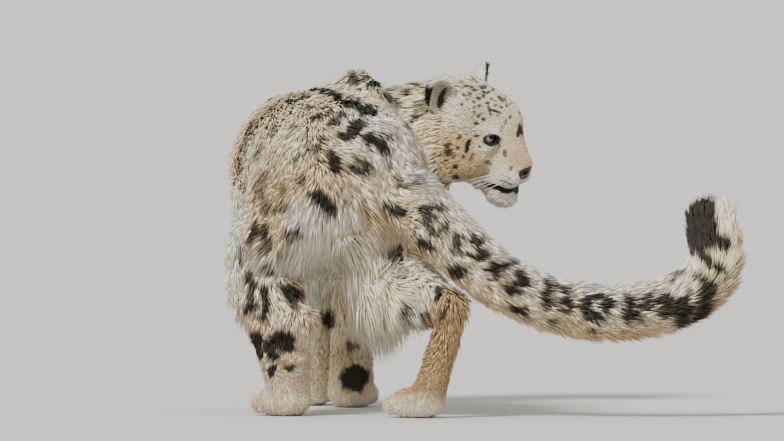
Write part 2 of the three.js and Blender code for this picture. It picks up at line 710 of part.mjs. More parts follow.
// An ear's share of the head is a round post along the ear, from its cut upwards.
const EAR_POST = { radius: 43, height: 120, sides: 32 };
function earPost(side, room) {
  const { at, normal } = earCut(side);
  const radius = EAR_POST.radius + room;
  const post = new THREE.CylinderGeometry(radius, radius, EAR_POST.height, EAR_POST.sides);
  post.rotateX(Math.PI / 2).translate(0, 0, EAR_POST.height / 2);
  const [up, axis] = [new THREE.Vector3(0, 0, 1), new THREE.Vector3(...normal)];
  const turn = new THREE.Quaternion().setFromUnitVectors(up, axis);
  const place = new THREE.Matrix4().makeRotationFromQuaternion(turn);
  place.setPosition(...sub(at, mul(normal, room)));
  return solidOfGeometry(post).transform(place.elements);
}

const headWithEars = (p) =>
  Object.keys(sides).reduce((d, side) => {
    const far = Math.hypot(...sub(toHead(p), onSide(EAR_AT[side], side))) > 70;
    return far ? d : blend(d, earDistance(p, side), 8);
  }, headAndNeck(p));

function makeEar(side) {
  const solid = region({
    distance: headWithEars,
    ...around([fromHead(onSide(EAR_AT[side], side))], 58),
    cell: 2.8,
    triangles: 360,
    planes: [earCut(side), CUTS.head],
  });
  return largest(solid.intersect(earPost(side, 0)));
}

function makeHead() {
  const faceWeight = (p) => (toHead(p)[0] > 40 ? 6 : 1);
  let solid = region({
    distance: headWithEars,
    ...around([fromHead([36, 0, -8])], 150),
    cell: 3.2,
    triangles: 2320,
    planes: [CUTS.head],
    weight: faceWeight,
  });
  for (const side of Object.keys(sides)) {
    solid = solid.subtract(sphere(fromHead(onSide(EYE_AT, side)), EYE_RADIUS + GAP));
    solid = solid.subtract(earPost(side, GAP));
  }
  return largest(solid);
}

// The long coat: flat, tapered locks that bend with its lie, rooted well inside their own node
const LOCK = {
  sink: 8, rings: [0, 0.34, 0.7], swell: [0.8, 1, 0.68], thick: 0.5, clear: 3, hang: 9, seed: 11,
};
const LOCKS = {
  torso: { count: 36, length: 74, width: 34, lift: 11, droop: 0.3 },
  neck: { count: 8, length: 52, width: 26, lift: 14, droop: 0.3 },
  head: { count: 10, length: 34, width: 17, lift: 14, droop: 0.15 },
  hindleg_left_upper: { count: 9, length: 56, width: 27, lift: 9, droop: 0.15 },
  hindleg_right_upper: { count: 14, length: 66, width: 28, lift: 14, droop: 0.4 },
  foreleg_left_upper: { count: 4, length: 44, width: 24, lift: 10, droop: 0.2 },
  foreleg_right_upper: { count: 4, length: 44, width: 24, lift: 10, droop: 0.2 },
  tail: { count: 12, length: 56, width: 26, lift: 5, droop: 0.03 },
};
const DOWN = [0, 0, -1];

// Between the hind legs the belly's hair is longest and hangs as a curtain.
const CURTAIN = { at: [-32, 150, 268], radii: [85, 150, 80], longer: 0.55, droop: 0.45 };
const inCurtain = (p) => THREE.MathUtils.smoothstep(-ellipsoid(p, CURTAIN.at, CURTAIN.radii), -10, 30);

// A seeded draw from 0 to 1
function makeDraw(seed) {
  let state = seed;
  return () => {
    state = (state + 0x6d2b79f5) | 0;
    let t = Math.imul(state ^ (state >>> 15), 1 | state);
    t = (t + Math.imul(t ^ (t >>> 7), 61 | t)) ^ t;
    return ((t ^ (t >>> 14)) >>> 0) / 4294967296;
  };
}

// The direction of the nearest piece of a limb
function wayAlong(p, limb) {
  let [best, way] = [Infinity, null];
  for (const { from, axis, inverse, tangent } of limb.pieces) {
    const t = THREE.MathUtils.clamp(dot(sub(p, from.at), axis) * inverse, 0, 1);
    const far = Math.hypot(...sub(p, add(from.at, mul(axis, t))));
    if (far < best) [best, way] = [far, tangent];
  }
  return way;
}

// Each node's rule for where its locks grow and which way they lie
const backwards = (p) => add(mul(wayAlong(p, spine), -1), mul(DOWN, 0.6));
const COATS = {
  torso: { grows: (p, n) => n[2] < -0.1 && p[2] < 400, lie: backwards },
  neck: { grows: (p, n) => n[2] < 0.1, lie: backwards },
  head: {
    grows: (p) => {
      const [x, y, z] = toHead(p);
      return x < 22 && z < 5 && Math.abs(y) > 26;
    },
    lie: (p) => turnFromHead([-1, 0.3 * Math.sign(toHead(p)[1]), -0.7]),
  },
  hind: { grows: (p, n) => p[2] < 390 && dot(n, backward) > -0.1 && p[2] > 245, leg: true },
  fore: { grows: (p, n) => n[1] < 0.2 && p[2] < 340 && p[2] > 260, leg: true },
  tail: { grows: () => true, lie: (p) => wayAlong(p, tail) },
};
const coatOf = (name) => COATS[name] ?? COATS[name.slice(0, 4)];
const lieOf = (name, p) => {
  const coat = coatOf(name);
  return coat.leg ? add(wayAlong(p, legs[name.replace("_upper", "")]), mul(DOWN, 0.3)) : coat.lie(p);
};

// Corners of a lock, ring after ring with a flat side under a ridge, and its tip
function lockPoints({ root, normal, lie, length, width, lift, droop }) {
  const aim = add(mul(lie, Math.cos(lift)), mul(normal, Math.sin(lift)));
  const side = unit(cross(normal, lie));
  const at = (t) => add(add(root, mul(aim, t * length)), mul(DOWN, droop * length * t * t));
  const rings = LOCK.rings.map((t, i) => {
    const centre = i ? at(t) : sub(root, mul(normal, LOCK.sink));
    const ahead = unit(sub(at(t + 0.1), at(t)));
    const half = (width * LOCK.swell[i]) / 2;
    const ridge = mul(unit(cross(side, ahead)), half * LOCK.thick);
    return [add(centre, mul(side, half)), add(centre, ridge), sub(centre, mul(side, half))];
  });
  return { rings, tip: at(1), line: [0.2, 0.4, 0.6, 0.8, 1].map(at) };
}

function lockSolid({ rings, tip }) {
  const faces = [[0, 2, 1]];
  const last = (rings.length - 1) * 3;
  for (let r = 0; r < last; r += 3)
    for (let i = 0; i < 3; i++) {
      const [a, b] = [r + i, r + ((i + 1) % 3)];
      faces.push([a, b, b + 3], [a, b + 3, a + 3]);
    }
  for (let i = 0; i < 3; i++) faces.push([last + i, last + ((i + 1) % 3), rings.length * 3]);
  const solid = solidOf({ points: [...rings.flat(), tip], faces });
  if (solid.volume() > 0) return solid;
  return solidOf({ points: [...rings.flat(), tip], faces: faces.map((f) => [...f].reverse()) });
}

// Whether a point lies in a node's own share of the body, clear of its cuts
function inShare(p, name, room) {
  const beyond = (planes) => planes.every((plane) => planeDistance(p, plane) > room);
  if (name === "torso") {
    const apart = (leg) => upperPlanes(leg).some((plane) => planeDistance(p, plane) < -room);
    return beyond([flip(CUTS.neck), flip(CUTS.tail)]) && Object.keys(LEGS).every(apart);
  }
  if (name === "neck") return beyond([CUTS.neck, flip(CUTS.head)]);
  if (name === "head") {
    return beyond([CUTS.head]) && Object.keys(sides).every((side) => earDistance(p, side) > 4);
  }
  if (name.startsWith("tail")) {
    const [start, end] = TAIL_PARTS.slice(Number(name.slice(-1)) - 1);
    return beyond([tailPlane(start)]) && (!end || beyond([flip(tailPlane(end))]));
  }
  return beyond(upperPlanes(name.replace("_upper", "")));
}

// A lock of the thigh may hang past the knee's cut, where it is clear of the lower leg.
const inUpperSides = (p, name) => {
  const leg = name.replace("_upper", "");
  return [CUTS[leg], ...UPPER_SIDES[leg]].every((plane) => planeDistance(p, plane) > 1);
};
const wholeBody = (p) => Math.min(headWithEars(p), ...Object.keys(limbs).map((name) => grown(p, name)));
const otherLimbs = (p, name) =>
  Math.min(...Object.keys(limbs).filter((limb) => !name.startsWith(limb)).map((limb) => limbs[limb](p)));

// A lock is rooted in its own node's share and stays clear of the other nodes and of their locks.
const grownLocks = [];
function fits({ rings, tip, line }, name, width) {
  if (!rings[0].every((p) => inShare(p, name, 1))) return false;
  const outer = [...rings.slice(1).flat(), tip, ...line];
  const hangs = name.startsWith("hindleg");
  const below = (p) => hangs && inUpperSides(p, name) && wholeBody(p) > LOCK.hang;
  const apart = (p) => inShare(p, name, 1) || below(p);
  const alone = (p) => name === "torso" || otherLimbs(p, name) > LOCK.clear;
  if (!outer.every((p) => p[2] > 30 && apart(p) && alone(p))) return false;
  return grownLocks.every((other) => {
    const free = (p, q) => Math.hypot(...sub(p, q)) > (width + other.width) / 2;
    return other.name === name || line.every((p) => other.line.every((q) => free(p, q)));
  });
}

// Spreads locks over a node where its coat is long and joins them to it.
function withLocks(name, solid) {
  const sizes = LOCKS[name] ?? LOCKS[name.slice(0, 4)];
  if (!sizes) return solid;
  const draw = makeDraw(LOCK.seed + name.length * 7 + name.charCodeAt(name.length - 1));
  const { vertProperties: v, triVerts } = solid.getMesh();
  const spots = [];
  for (let i = 0; i < triVerts.length; i += 3) {
    const [a, b, c] = [0, 1, 2].map((k) => [...v.slice(triVerts[i + k] * 3, triVerts[i + k] * 3 + 3)]);
    const n = cross(sub(b, a), sub(c, a));
    const size = Math.hypot(...n);
    for (let k = 0; k < size / 160; k++) {
      let [s, t] = [draw(), draw()];
      if (s + t > 1) [s, t] = [1 - s, 1 - t];
      const root = add(a, add(mul(sub(b, a), s), mul(sub(c, a), t)));
      spots.push({ root, normal: mul(n, 1 / size) });
    }
  }
  const free = spots.filter(({ root, normal }) => coatOf(name).grows(root, normal) && inShare(root, name, 6));
  const roots = [];
  const pieces = [solid];
  for (let tries = 0; tries < sizes.count * 6 && pieces.length <= sizes.count; tries++) {
    const drawn = Array.from({ length: 14 }, () => free[Math.floor(draw() * free.length)]);
    const gap = ({ root }) => Math.min(Infinity, ...roots.map((r) => Math.hypot(...sub(r, root))));
    const { root, normal } = drawn.reduce((a, b) => (gap(b) > gap(a) ? b : a));
    roots.push(root);
    const straight = lieOf(name, root);
    const lie = unit(sub(straight, mul(normal, dot(straight, normal))));
    const [vary, turn] = [mix(0.82, 1.18, draw()), mix(-0.2, 0.2, draw())];
    for (const shorter of [1, 0.8, 0.62]) {
      const hanging = inCurtain(root);
      const length = sizes.length * vary * shorter * (1 + CURTAIN.longer * hanging);
      const droop = sizes.droop + CURTAIN.droop * hanging;
      const width = sizes.width * mix(0.85, 1.15, draw());
      const swung = unit(add(lie, mul(cross(normal, lie), turn)));
      const lift = THREE.MathUtils.degToRad(sizes.lift);
      const lock = lockPoints({ root, normal, lie: swung, length, width, lift, droop });
      if (!fits(lock, name, width)) continue;
      grownLocks.push({ name, line: lock.line, width });
      pieces.push(lockSolid(lock));
      break;
    }
  }
  return largest(wasm.Manifold.union(pieces));
}

const MATERIALS = {
  coat: { color: 0xcfc6b2, roughness: 0.9, metalness: 0 },
  eye: { color: 0x9fa79a, roughness: 0.1, metalness: 0 },
};

const leopard = new THREE.Group();
function show(name, bare, slot) {
  const { vertProperties, triVerts } = withLocks(name, bare).getMesh();
  const geometry = new THREE.BufferGeometry();
  geometry.setAttribute("position", new THREE.BufferAttribute(vertProperties, 3));
  geometry.setIndex(new THREE.BufferAttribute(triVerts, 1));
  const mesh = new THREE.Mesh(geometry, new THREE.MeshStandardMaterial(MATERIALS[slot]));
  mesh.name = name;
  leopard.add(mesh);
}

show("torso", makeTorso(), "coat");
show("neck", makeNeck(), "coat");
show("head", makeHead(), "coat");
for (const side of Object.keys(sides)) {
  show(`ear_${side}`, makeEar(side), "coat");
  show(`eye_${side}`, sphere(fromHead(onSide(EYE_AT, side)), EYE_RADIUS), "eye");
}
for (const name of Object.keys(LEGS)) for (const [part, solid] of makeLeg(name)) show(part, solid, "coat");
for (const [part, solid] of makeTail()) show(part, solid, "coat");

// The origin is the middle of the whole model, on the floor.
const bounds = new THREE.Box3().setFromObject(leopard);
const middle = bounds.getCenter(new THREE.Vector3());
for (const mesh of leopard.children) mesh.geometry.translate(-middle.x, -middle.y, -bounds.min.z);

export default leopard;
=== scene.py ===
"""A life-size snow leopard: one skin under a coat of mesh tufts, with its eyes, nose and whiskers.

Shapes are worked out in millimetres in the body's own coordinates and moved into the row frame.
"""

import math

import bmesh
import bpy
import numpy as np
from mathutils import Matrix, Vector, kdtree


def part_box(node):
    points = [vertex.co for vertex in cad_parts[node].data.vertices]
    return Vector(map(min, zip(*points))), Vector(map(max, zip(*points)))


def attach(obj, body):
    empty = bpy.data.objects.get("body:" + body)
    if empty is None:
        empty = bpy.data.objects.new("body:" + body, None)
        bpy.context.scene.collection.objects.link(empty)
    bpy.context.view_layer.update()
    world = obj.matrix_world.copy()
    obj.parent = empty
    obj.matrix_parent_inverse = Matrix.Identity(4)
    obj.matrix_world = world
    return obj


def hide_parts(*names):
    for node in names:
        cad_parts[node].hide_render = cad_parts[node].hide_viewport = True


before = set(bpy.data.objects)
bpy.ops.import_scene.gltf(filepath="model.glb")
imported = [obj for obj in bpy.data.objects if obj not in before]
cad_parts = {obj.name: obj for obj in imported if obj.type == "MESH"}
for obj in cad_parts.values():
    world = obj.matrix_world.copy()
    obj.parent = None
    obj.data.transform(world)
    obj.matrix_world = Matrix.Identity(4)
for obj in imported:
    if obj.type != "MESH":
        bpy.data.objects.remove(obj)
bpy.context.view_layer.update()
rng = np.random.default_rng(7)

# Stations of each limb: centre, half the width across and half the depth
SPINE = [
    [-45, 45, 468, 80, 80], [-80, 95, 454, 122, 130], [-135, 195, 446, 128, 143], [-160, 315, 434, 134, 148],
    [-148, 430, 428, 137, 156], [-90, 535, 430, 124, 154], [-18, 595, 456, 106, 128], [48, 615, 492, 94, 102],
    [105, 606, 514, 84, 90],
]
TAIL = [
    [-60, 55, 492, 66, 66], [-43, 25, 488, 64, 64], [11, -10, 424, 60, 60], [68, -36, 361, 58, 58],
    [137, -60, 295, 55, 55], [194, -66, 250, 53, 53], [266, -60, 214, 52, 52], [326, -58, 199, 52, 52],
    [385, -56, 192, 52, 52], [446, -54, 197, 52, 52], [499, -50, 210, 52, 52], [549, -46, 237, 52, 52],
    [577, -42, 280, 53, 53], [576, -40, 344, 50, 50],
]
HIND, FORE = [-0.57, 0.82, 0], [0.12, 0.99, 0]
LEGS = {
    "hindleg_left": dict(heading=HIND, paw=[-196, 112, 27], heel=[-166, 48, 172, 34], stations=[
        [-138, 45, 438, 74, 95], [-190, 95, 365, 74, 90], [-234, 140, 288, 66, 70], [-218, 112, 216, 58, 68],
        [-202, 88, 158, 52, 60], [-194, 80, 112, 48, 50], [-188, 86, 68, 44, 42], [-186, 92, 38, 42, 38]]),
    "hindleg_right": dict(heading=HIND, paw=[44, 4, 27], heel=[106, -54, 206, 25], stations=[
        [-25, 100, 438, 78, 98], [-20, 116, 345, 76, 92], [-8, 122, 255, 64, 68], [40, 38, 232, 48, 54],
        [86, -34, 214, 34, 36], [102, -48, 196, 28, 29], [99, -50, 158, 28, 28], [86, -40, 110, 28, 28],
        [73, -30, 66, 30, 30], [62, -18, 38, 36, 32]]),
    "foreleg_left": dict(heading=FORE, paw=[-152, 648, 27], stations=[
        [-140, 575, 420, 66, 88], [-139, 566, 262, 47, 54], [-138, 582, 205, 41, 45],
        [-138, 602, 112, 38, 39], [-143, 616, 62, 41, 39], [-146, 626, 38, 42, 38]]),
    "foreleg_right": dict(heading=FORE, paw=[-73, 552, 27], stations=[
        [-45, 530, 420, 66, 86], [-61, 498, 262, 46, 54], [-68, 506, 205, 42, 46], [-73, 520, 112, 39, 40],
        [-74, 528, 62, 42, 40], [-74, 536, 38, 43, 39]]),
}
BLADES = [([-60, 522, 560], [50, 56, 56]), ([-125, 565, 530], [48, 60, 52])]
HEAD_AT, HEAD_TURN = np.array([137.0, 586.0, 510.0]), (27, 20, 14)
HEAD_BOX = HEAD_AT - 170.0, HEAD_AT + 170.0
EYE_AT, EYE_RADIUS = np.array([61.0, 37.0, 13.5]), 15.0
EYE_LOOK = np.array([0.86, 0.5, 0.05]) / np.linalg.norm([0.86, 0.5, 0.05])
EYE_OPEN, EYE_RAISED = [12.5, 10.3], 3.6
EAR_AT = {"left": [-22, 62, 64], "right": [-31, 68, 72]}
EAR_WIDE, EAR_HIGH = 29, 41
MOUTH_RISE, MOUTH_REACH, MOUTH_AT = 4, 44, -72
SIDES = {"left": 1, "right": -1}


def unit(v):
    v = np.asarray(v, float)
    return v / np.maximum(np.linalg.norm(v, axis=-1, keepdims=True), 1e-12)


def dot(a, b):
    return np.einsum("...i,...i->...", a, b)


def hermite(b, c, m0, m1, w):
    """The cubic from b to c whose slopes there are m0 and m1."""
    return b + m0 * w + (3 * (c - b) - 2 * m0 - m1) * w**2 + (2 * (b - c) + m0 + m1) * w**3


def catmull(points, t):
    """A point on the centripetal curve through the points."""
    n = len(points)
    s = min(max(t, 0) * (n - 1), n - 1 - 1e-9)
    i, w = int(s), s - int(s)
    b, c = points[i], points[i + 1]
    a = points[i - 1] if i else 2 * b - c
    d = points[i + 2] if i + 2 < n else 2 * c - b
    g0, g1, g2 = [max(np.linalg.norm(q - p) ** 0.5, 1e-4) for p, q in ((a, b), (b, c), (c, d))]
    m0 = ((b - a) / g0 - (c - a) / (g0 + g1) + (c - b) / g1) * g1
    m1 = ((c - b) / g1 - (d - b) / (g1 + g2) + (d - c) / g2) * g1
    return hermite(b, c, m0, m1, w)


def spline(sizes, t):
    """A size between the stations' sizes."""
    n = len(sizes)
    s = min(t * (n - 1), n - 1 - 1e-9)
    i, w = int(s), s - int(s)
    a, b, c, d = [sizes[min(max(k, 0), n - 1)] for k in (i - 1, i, i + 1, i + 2)]
    return hermite(b, c, (c - a) / 2, (d - b) / 2, w)


def make_limb(stations, across, steps):
    """Rings along a limb: centre, direction across it, and half sizes."""
    st = np.array(stations, float)
    rings = []
    for k in range((len(st) - 1) * steps + 1):
        t = k / ((len(st) - 1) * steps)
        along = unit(catmull(st[:, :3], min(t + 1e-4, 1)) - catmull(st[:, :3], max(t - 1e-4, 0)))
        side = np.cross([0, 0, 1], along) if across is None else np.array(across, float)
        rings.append((catmull(st[:, :3], t), unit(side - along * dot(side, along)), spline(st[:, 3:], t)))
    return rings


def reach_of(rings):
    """The box round a limb."""
    low = np.min([at - max(size) for at, _, size in rings], axis=0)
    return low, np.max([at + max(size) for at, _, size in rings], axis=0)


def within(p, box, distance, margin=110.0):
    """A distance worked out only near its box, and the distance to the box elsewhere."""
    out = np.linalg.norm(np.maximum(np.maximum(box[0] - p, p - box[1]), 0), axis=1)
    near = out < margin
    d = out + 10
    d[near] = distance(p[near])
    return d


def limb_distance(p, rings):
    return within(p, reach_of(rings), lambda q: oval_distance(q, rings))


def oval_distance(p, rings):
    """Distance to a limb of oval sections."""
    best = np.full(len(p), 1e9)
    for (a, side_a, size_a), (b, side_b, size_b) in zip(rings[:-1], rings[1:]):
        axis = b - a
        tangent = unit(axis)
        t = np.clip((p - a) @ axis / (axis @ axis), 0, 1)
        q = p - a - axis * t[:, None]
        far = np.sqrt(dot(q, q))
        wide, deep = [size_a[i] + (size_b[i] - size_a[i]) * t for i in (0, 1)]
        side = side_a + (side_b - side_a) * t[:, None]
        up = np.cross(tangent, side)
        least = np.minimum(wide, deep)
        r = np.sqrt((dot(q, side) / wide) ** 2 + (dot(q, up) / deep) ** 2 + (q @ tangent / least) ** 2)
        best = np.minimum(best, np.where(r < 1e-6, -least, far * (1 - 1 / np.maximum(r, 1e-6))))
    return best


def limb_place(p, rings):
    """How far along a limb each point is, from 0 to 1, the limb's direction there and the angle round it."""
    best, along = np.full(len(p), 1e9), np.zeros(len(p))
    way, angle = np.zeros_like(p), np.zeros(len(p))
    for k, ((a, side_a, _), (b, _, _)) in enumerate(zip(rings[:-1], rings[1:])):
        axis = b - a
        t = np.clip((p - a) @ axis / (axis @ axis), 0, 1)
        q = p - a - axis * t[:, None]
        far = dot(q, q)
        near = far < best
        best[near], along[near], way[near] = far[near], (k + t[near]) / (len(rings) - 1), unit(axis)
        turn = np.arctan2(q @ np.cross(unit(axis), side_a), q @ side_a)
        angle[near] = turn[near]
    return along, way, angle


def ellipsoid(p, at, radii):
    q = p - np.asarray(at, float)
    r = np.sqrt(((q / np.asarray(radii, float)) ** 2).sum(1))
    return np.where(r < 1e-6, -min(radii), np.sqrt(dot(q, q)) * (1 - 1 / np.maximum(r, 1e-6)))


def round_cone(p, a, b, start, end):
    a, axis = np.array(a, float), np.array(b, float) - np.array(a, float)
    t = np.clip((p - a) @ axis / (axis @ axis), 0, 1)
    return np.linalg.norm(p - a - axis * t[:, None], axis=1) - (start + (end - start) * t)


def blend(a, b, k):
    h = np.maximum(k - np.abs(a - b), 0) / k
    return np.minimum(a, b) - h * h * k / 4


def carve(a, b, k):
    return -blend(-a, b, k)


def smooth(x, low, high):
    t = np.clip((x - low) / (high - low), 0, 1)
    return t * t * (3 - 2 * t)


yaw, nod, tilt = [math.radians(a) for a in HEAD_TURN]
HEAD_X = np.array([math.cos(yaw) * math.cos(nod), -math.sin(yaw) * math.cos(nod), -math.sin(nod)])
level = np.array([math.sin(yaw), math.cos(yaw), 0])
HEAD_Y = level * math.cos(tilt) + np.cross(HEAD_X, level) * math.sin(tilt)
HEAD = np.array([HEAD_X, HEAD_Y, np.cross(HEAD_X, HEAD_Y)])


def to_head(p):
    return (p - HEAD_AT) @ HEAD.T


def from_head(v):
    return HEAD_AT + np.asarray(v, float) @ HEAD


spine = make_limb(SPINE, None, 3)
tail = make_limb(TAIL, [0, 1, 0], 2)
legs = {n: make_limb(g["stations"], unit(np.cross([0, 0, 1], g["heading"])), 2) for n, g in LEGS.items()}

# Forms of the head: place, radii, blend and whether it is mirrored
HEAD_FORMS = [
    ([2, 0, 9], [88, 70, 68], 1, 0), ([0, 0, 42], [62, 54, 50], 24, 0), ([50, 0, 33], [54, 55, 49], 20, 0),
    ([14, 44, -36], [58, 38, 50], 26, 1),
    ([46, 42, -12], [32, 22, 26], 20, 1), ([64, 28, 32], [20, 20, 13], 14, 1),
    ([80, 0, -36], [46, 39, 37], 22, 0), ([109, 18, -50], [28, 22, 23], 12, 1),
    ([50, 0, -66], [62, 36, 30], 18, 0), ([100, 0, -87], [28, 25, 22], 16, 0),
]


def mirrored(p):
    return np.column_stack([p[:, 0], np.abs(p[:, 1]), p[:, 2]])


def eye_view(m):
    """Ahead, across and up from the middle of the eye's opening, for points mirrored to one side."""
    across = unit(np.cross([0, 0, 1], EYE_LOOK))
    q = m - EYE_AT - EYE_LOOK * (EYE_RADIUS + 3)
    return np.column_stack([q @ EYE_LOOK, q @ across, q @ np.cross(EYE_LOOK, across) - EYE_RAISED])


def mouth_bend(p):
    """How far the line of the mouth lies above its middle."""
    return MOUTH_RISE * p[:, 1] ** 2 / MOUTH_REACH**2


def nose_pad(h):
    """Distance of points of the head to the form of the nose pad, and how far they are ahead of its edge."""
    return ellipsoid(h, [128, 0, -36], [20, 20, 19]), h[:, 0] + 0.35 * h[:, 2]


def head_form(world):
    """Distance to the head without its ears: forms, bridge and nose, then eyes, mouth and nostrils cut in."""
    p = to_head(world)
    m = mirrored(p)
    d = np.full(len(p), 1e9)
    for at, radii, k, paired in HEAD_FORMS:
        d = blend(d, ellipsoid(m if paired else p, at, radii), k)
    d = blend(d, round_cone(p, [74, 0, 24], [125, 0, -24], 33, 18), 16)
    d = blend(d, ellipsoid(p, [129, 0, -31], [15, 19, 14]), 6)
    d = blend(d, ellipsoid(m, EYE_AT, [EYE_RADIUS + 4] * 3), 10)
    seen = eye_view(m)
    d = carve(d, ellipsoid(seen, [0, 0, 0], [13, *EYE_OPEN]), 3)
    smile = np.column_stack([p[:, 0], p[:, 1], p[:, 2] - mouth_bend(p)])
    d = carve(d, ellipsoid(smile, [104, 0, MOUTH_AT], [MOUTH_REACH, MOUTH_REACH, 2.6]), 5)
    return carve(d, ellipsoid(m, [142, 9.5, -34], [8, 4.5, 4]), 3)


def ear_distance(world, side):
    """Distance to an ear: an upright oval, hollowed from the front."""
    flip = np.array([1, SIDES[side], 1])
    axis = unit(np.array([-10, 26, 55]) * flip)
    face = np.array([0.78, 0.6, 0]) * flip
    ahead = unit(face - axis * (face @ axis))
    q = to_head(world) - np.array(EAR_AT[side]) * flip
    p = np.column_stack([q @ ahead, q @ np.cross(axis, ahead), q @ axis])
    outer = ellipsoid(p, [0, 0, 0], [20, EAR_WIDE, EAR_HIGH])
    return carve(outer, ellipsoid(p, [13, 0, 3], [19, 24, 35]), 4)


def leg_distance(p, name):
    low, high = reach_of(legs[name])
    paw = np.array(LEGS[name]["paw"])
    return within(p, (np.minimum(low, paw - 70), np.maximum(high, paw + 70)), lambda q: leg_form(q, name))


def leg_form(p, name):
    """Distance to a leg with its heel and a foot of four toes."""
    g = LEGS[name]
    d = limb_distance(p, legs[name])
    if "heel" in g:
        d = blend(d, ellipsoid(p, g["heel"][:3], [g["heel"][3]] * 3), 34)
    side = unit(np.cross([0, 0, 1], g["heading"]))
    q = p - np.array(g["paw"], float)
    local = np.column_stack([q @ np.array(g["heading"]), q @ side, q[:, 2]])
    foot = ellipsoid(local, [0, 0, 0], [58, 45, 31])
    for s in (-0.5, -1 / 6, 1 / 6, 0.5):
        foot = blend(foot, ellipsoid(local, [58 * (0.72 - 0.9 * s * s), s * 66, -4], [25, 15, 19]), 9)
    return blend(d, foot, 14)


def parts_of(p):
    """Distances to the core, each leg, the tail, the head and the ears."""
    core = limb_distance(p, spine)
    for at, radii in BLADES:
        core = blend(core, ellipsoid(p, at, radii), 40)
    found = {"core": core, "tail": limb_distance(p, tail), "head": within(p, HEAD_BOX, head_form)}
    for name in LEGS:
        found[name] = leg_distance(p, name)
    ears = lambda q: np.minimum(ear_distance(q, "left"), ear_distance(q, "right"))
    found["ears"] = within(p, HEAD_BOX, ears)
    return found


def coat_depth(p, found):
    """How deep the skin lies under the solids, in millimetres."""
    h = to_head(p)
    m = mirrored(h)
    face = 5.5 - 2.5 * smooth(h[:, 0], -10, 60) - 1.4 * smooth(h[:, 0], 70, 110)
    eye = np.linalg.norm(m - EYE_AT, axis=1)
    face = np.minimum(face, 0.5 + 4 * smooth(eye, 22, 38))
    face = np.minimum(face, 0.2 + 3 * smooth(np.linalg.norm(h - [132, 0, -31], axis=1), 20, 34))
    depth = {"core": np.full(len(p), 11.0), "tail": np.full(len(p), 17.0), "head": face,
             "ears": np.full(len(p), 1.4)}
    for name in LEGS:
        depth[name] = 4 + 8 * smooth(p[:, 2], 60, 230)
    total, weight = np.zeros(len(p)), np.zeros(len(p))
    for name, d in found.items():
        w = np.exp(-np.clip(d, -40, 200) / (3 if name == "ears" else 12))
        total, weight = total + w * depth[name], weight + w
    return total / weight


def skin_distance(p):
    """Distance to the skin under the coat, cut off just above the floor."""
    f = parts_of(p)
    core = f["core"]
    headed = blend(core, f["head"], 34)
    d = np.minimum(np.minimum(core, blend(headed, f["ears"], 8)), blend(core, f["tail"], 45))
    for name in LEGS:
        d = np.minimum(d, blend(core, f[name], 55))
    d = d + coat_depth(p, f)
    return np.maximum(d, 0.3 - p[:, 2])


def surface(distance, low, high, cell):
    """Meshes a distance function as quads: one point in each cell that the surface crosses."""
    block = 4
    n = [int(math.ceil((high[i] - low[i]) / cell / block)) * block for i in range(3)]
    centres = [np.arange(low[i] + cell * (block - 1) / 2, low[i] + cell * n[i], cell * block)[: n[i] // block]
               for i in range(3)]
    grid = np.stack(np.meshgrid(*centres, indexing="ij"), -1).reshape(-1, 3)
    coarse = distance(grid).reshape([c // block for c in n])
    value = np.repeat(np.repeat(np.repeat(coarse, block, 0), block, 1), block, 2)
    near = np.abs(value) < block * cell * 1.35
    index = np.argwhere(near)
    value[near] = distance(np.array(low) + index * cell)
    inside = value < 0
    corner = [(a, b, c) for a in (0, 1) for b in (0, 1) for c in (0, 1)]
    view = lambda arr, o: arr[o[0]:n[0] - 1 + o[0], o[1]:n[1] - 1 + o[1], o[2]:n[2] - 1 + o[2]]
    count = sum(view(inside, o).astype(np.int8) for o in corner)
    active = (count > 0) & (count < 8)
    place = np.full(active.shape, -1)
    place[active] = np.arange(active.sum())
    at = np.argwhere(active)
    total, crossed = np.zeros((len(at), 3)), np.zeros(len(at))
    for i, a in enumerate(corner):
        for b in corner[i + 1:]:
            if sum(abs(x - y) for x, y in zip(a, b)) != 1:
                continue
            va, vb = view(value, a)[active], view(value, b)[active]
            cut = (va < 0) != (vb < 0)
            t = (va / np.where(cut, va - vb, 1))[:, None]
            total += np.where(cut[:, None], np.array(a) + (np.array(b) - np.array(a)) * t, 0)
            crossed += cut
    points = np.array(low) + (at + total / crossed[:, None]) * cell
    faces = []
    for axis in range(3):
        u, v = [(axis + 1) % 3, (axis + 2) % 3]
        first = [slice(1, n[s] - 1) for s in range(3)]
        second = list(first)
        second[axis] = slice(2, n[axis])
        here, there = inside[tuple(first)], inside[tuple(second)]
        for sign in (True, False):
            cells = np.argwhere((here != there) & (here == sign)) + 1
            quad = []
            for a, b in ((0, 0), (1, 0), (1, 1), (0, 1)) if sign else ((0, 1), (1, 1), (1, 0), (0, 0)):
                c = cells.copy()
                c[:, u] -= a
                c[:, v] -= b
                quad.append(place[c[:, 0], c[:, 1], c[:, 2]])
            faces.append(np.column_stack(quad))
    return points, np.vstack(faces)


def slope(distance, p, e=0.6):
    """A distance and the way that it grows."""
    d = distance(p)
    g = np.column_stack([distance(p + np.eye(3)[i] * e) - d for i in range(3)]) / e
    return d, g


def settle(distance, p, steps=2, most=4.0):
    """Moves points on to the surface where a distance is 0."""
    for _ in range(steps):
        d, g = slope(distance, p)
        move = -g * (d / np.maximum(dot(g, g), 0.3))[:, None]
        size = np.linalg.norm(move, axis=1, keepdims=True)
        p = p + move * np.minimum(1, most / np.maximum(size, 1e-9))
    return p


def vertex_normals(points, faces):
    corners = points[faces]
    flat = np.cross(corners[:, 1] - corners[:, 0], corners[:, 2] - corners[:, 0])
    sums = [np.bincount(faces.ravel(), np.repeat(flat[:, i], 3), len(points)) for i in range(3)]
    return unit(np.column_stack(sums))


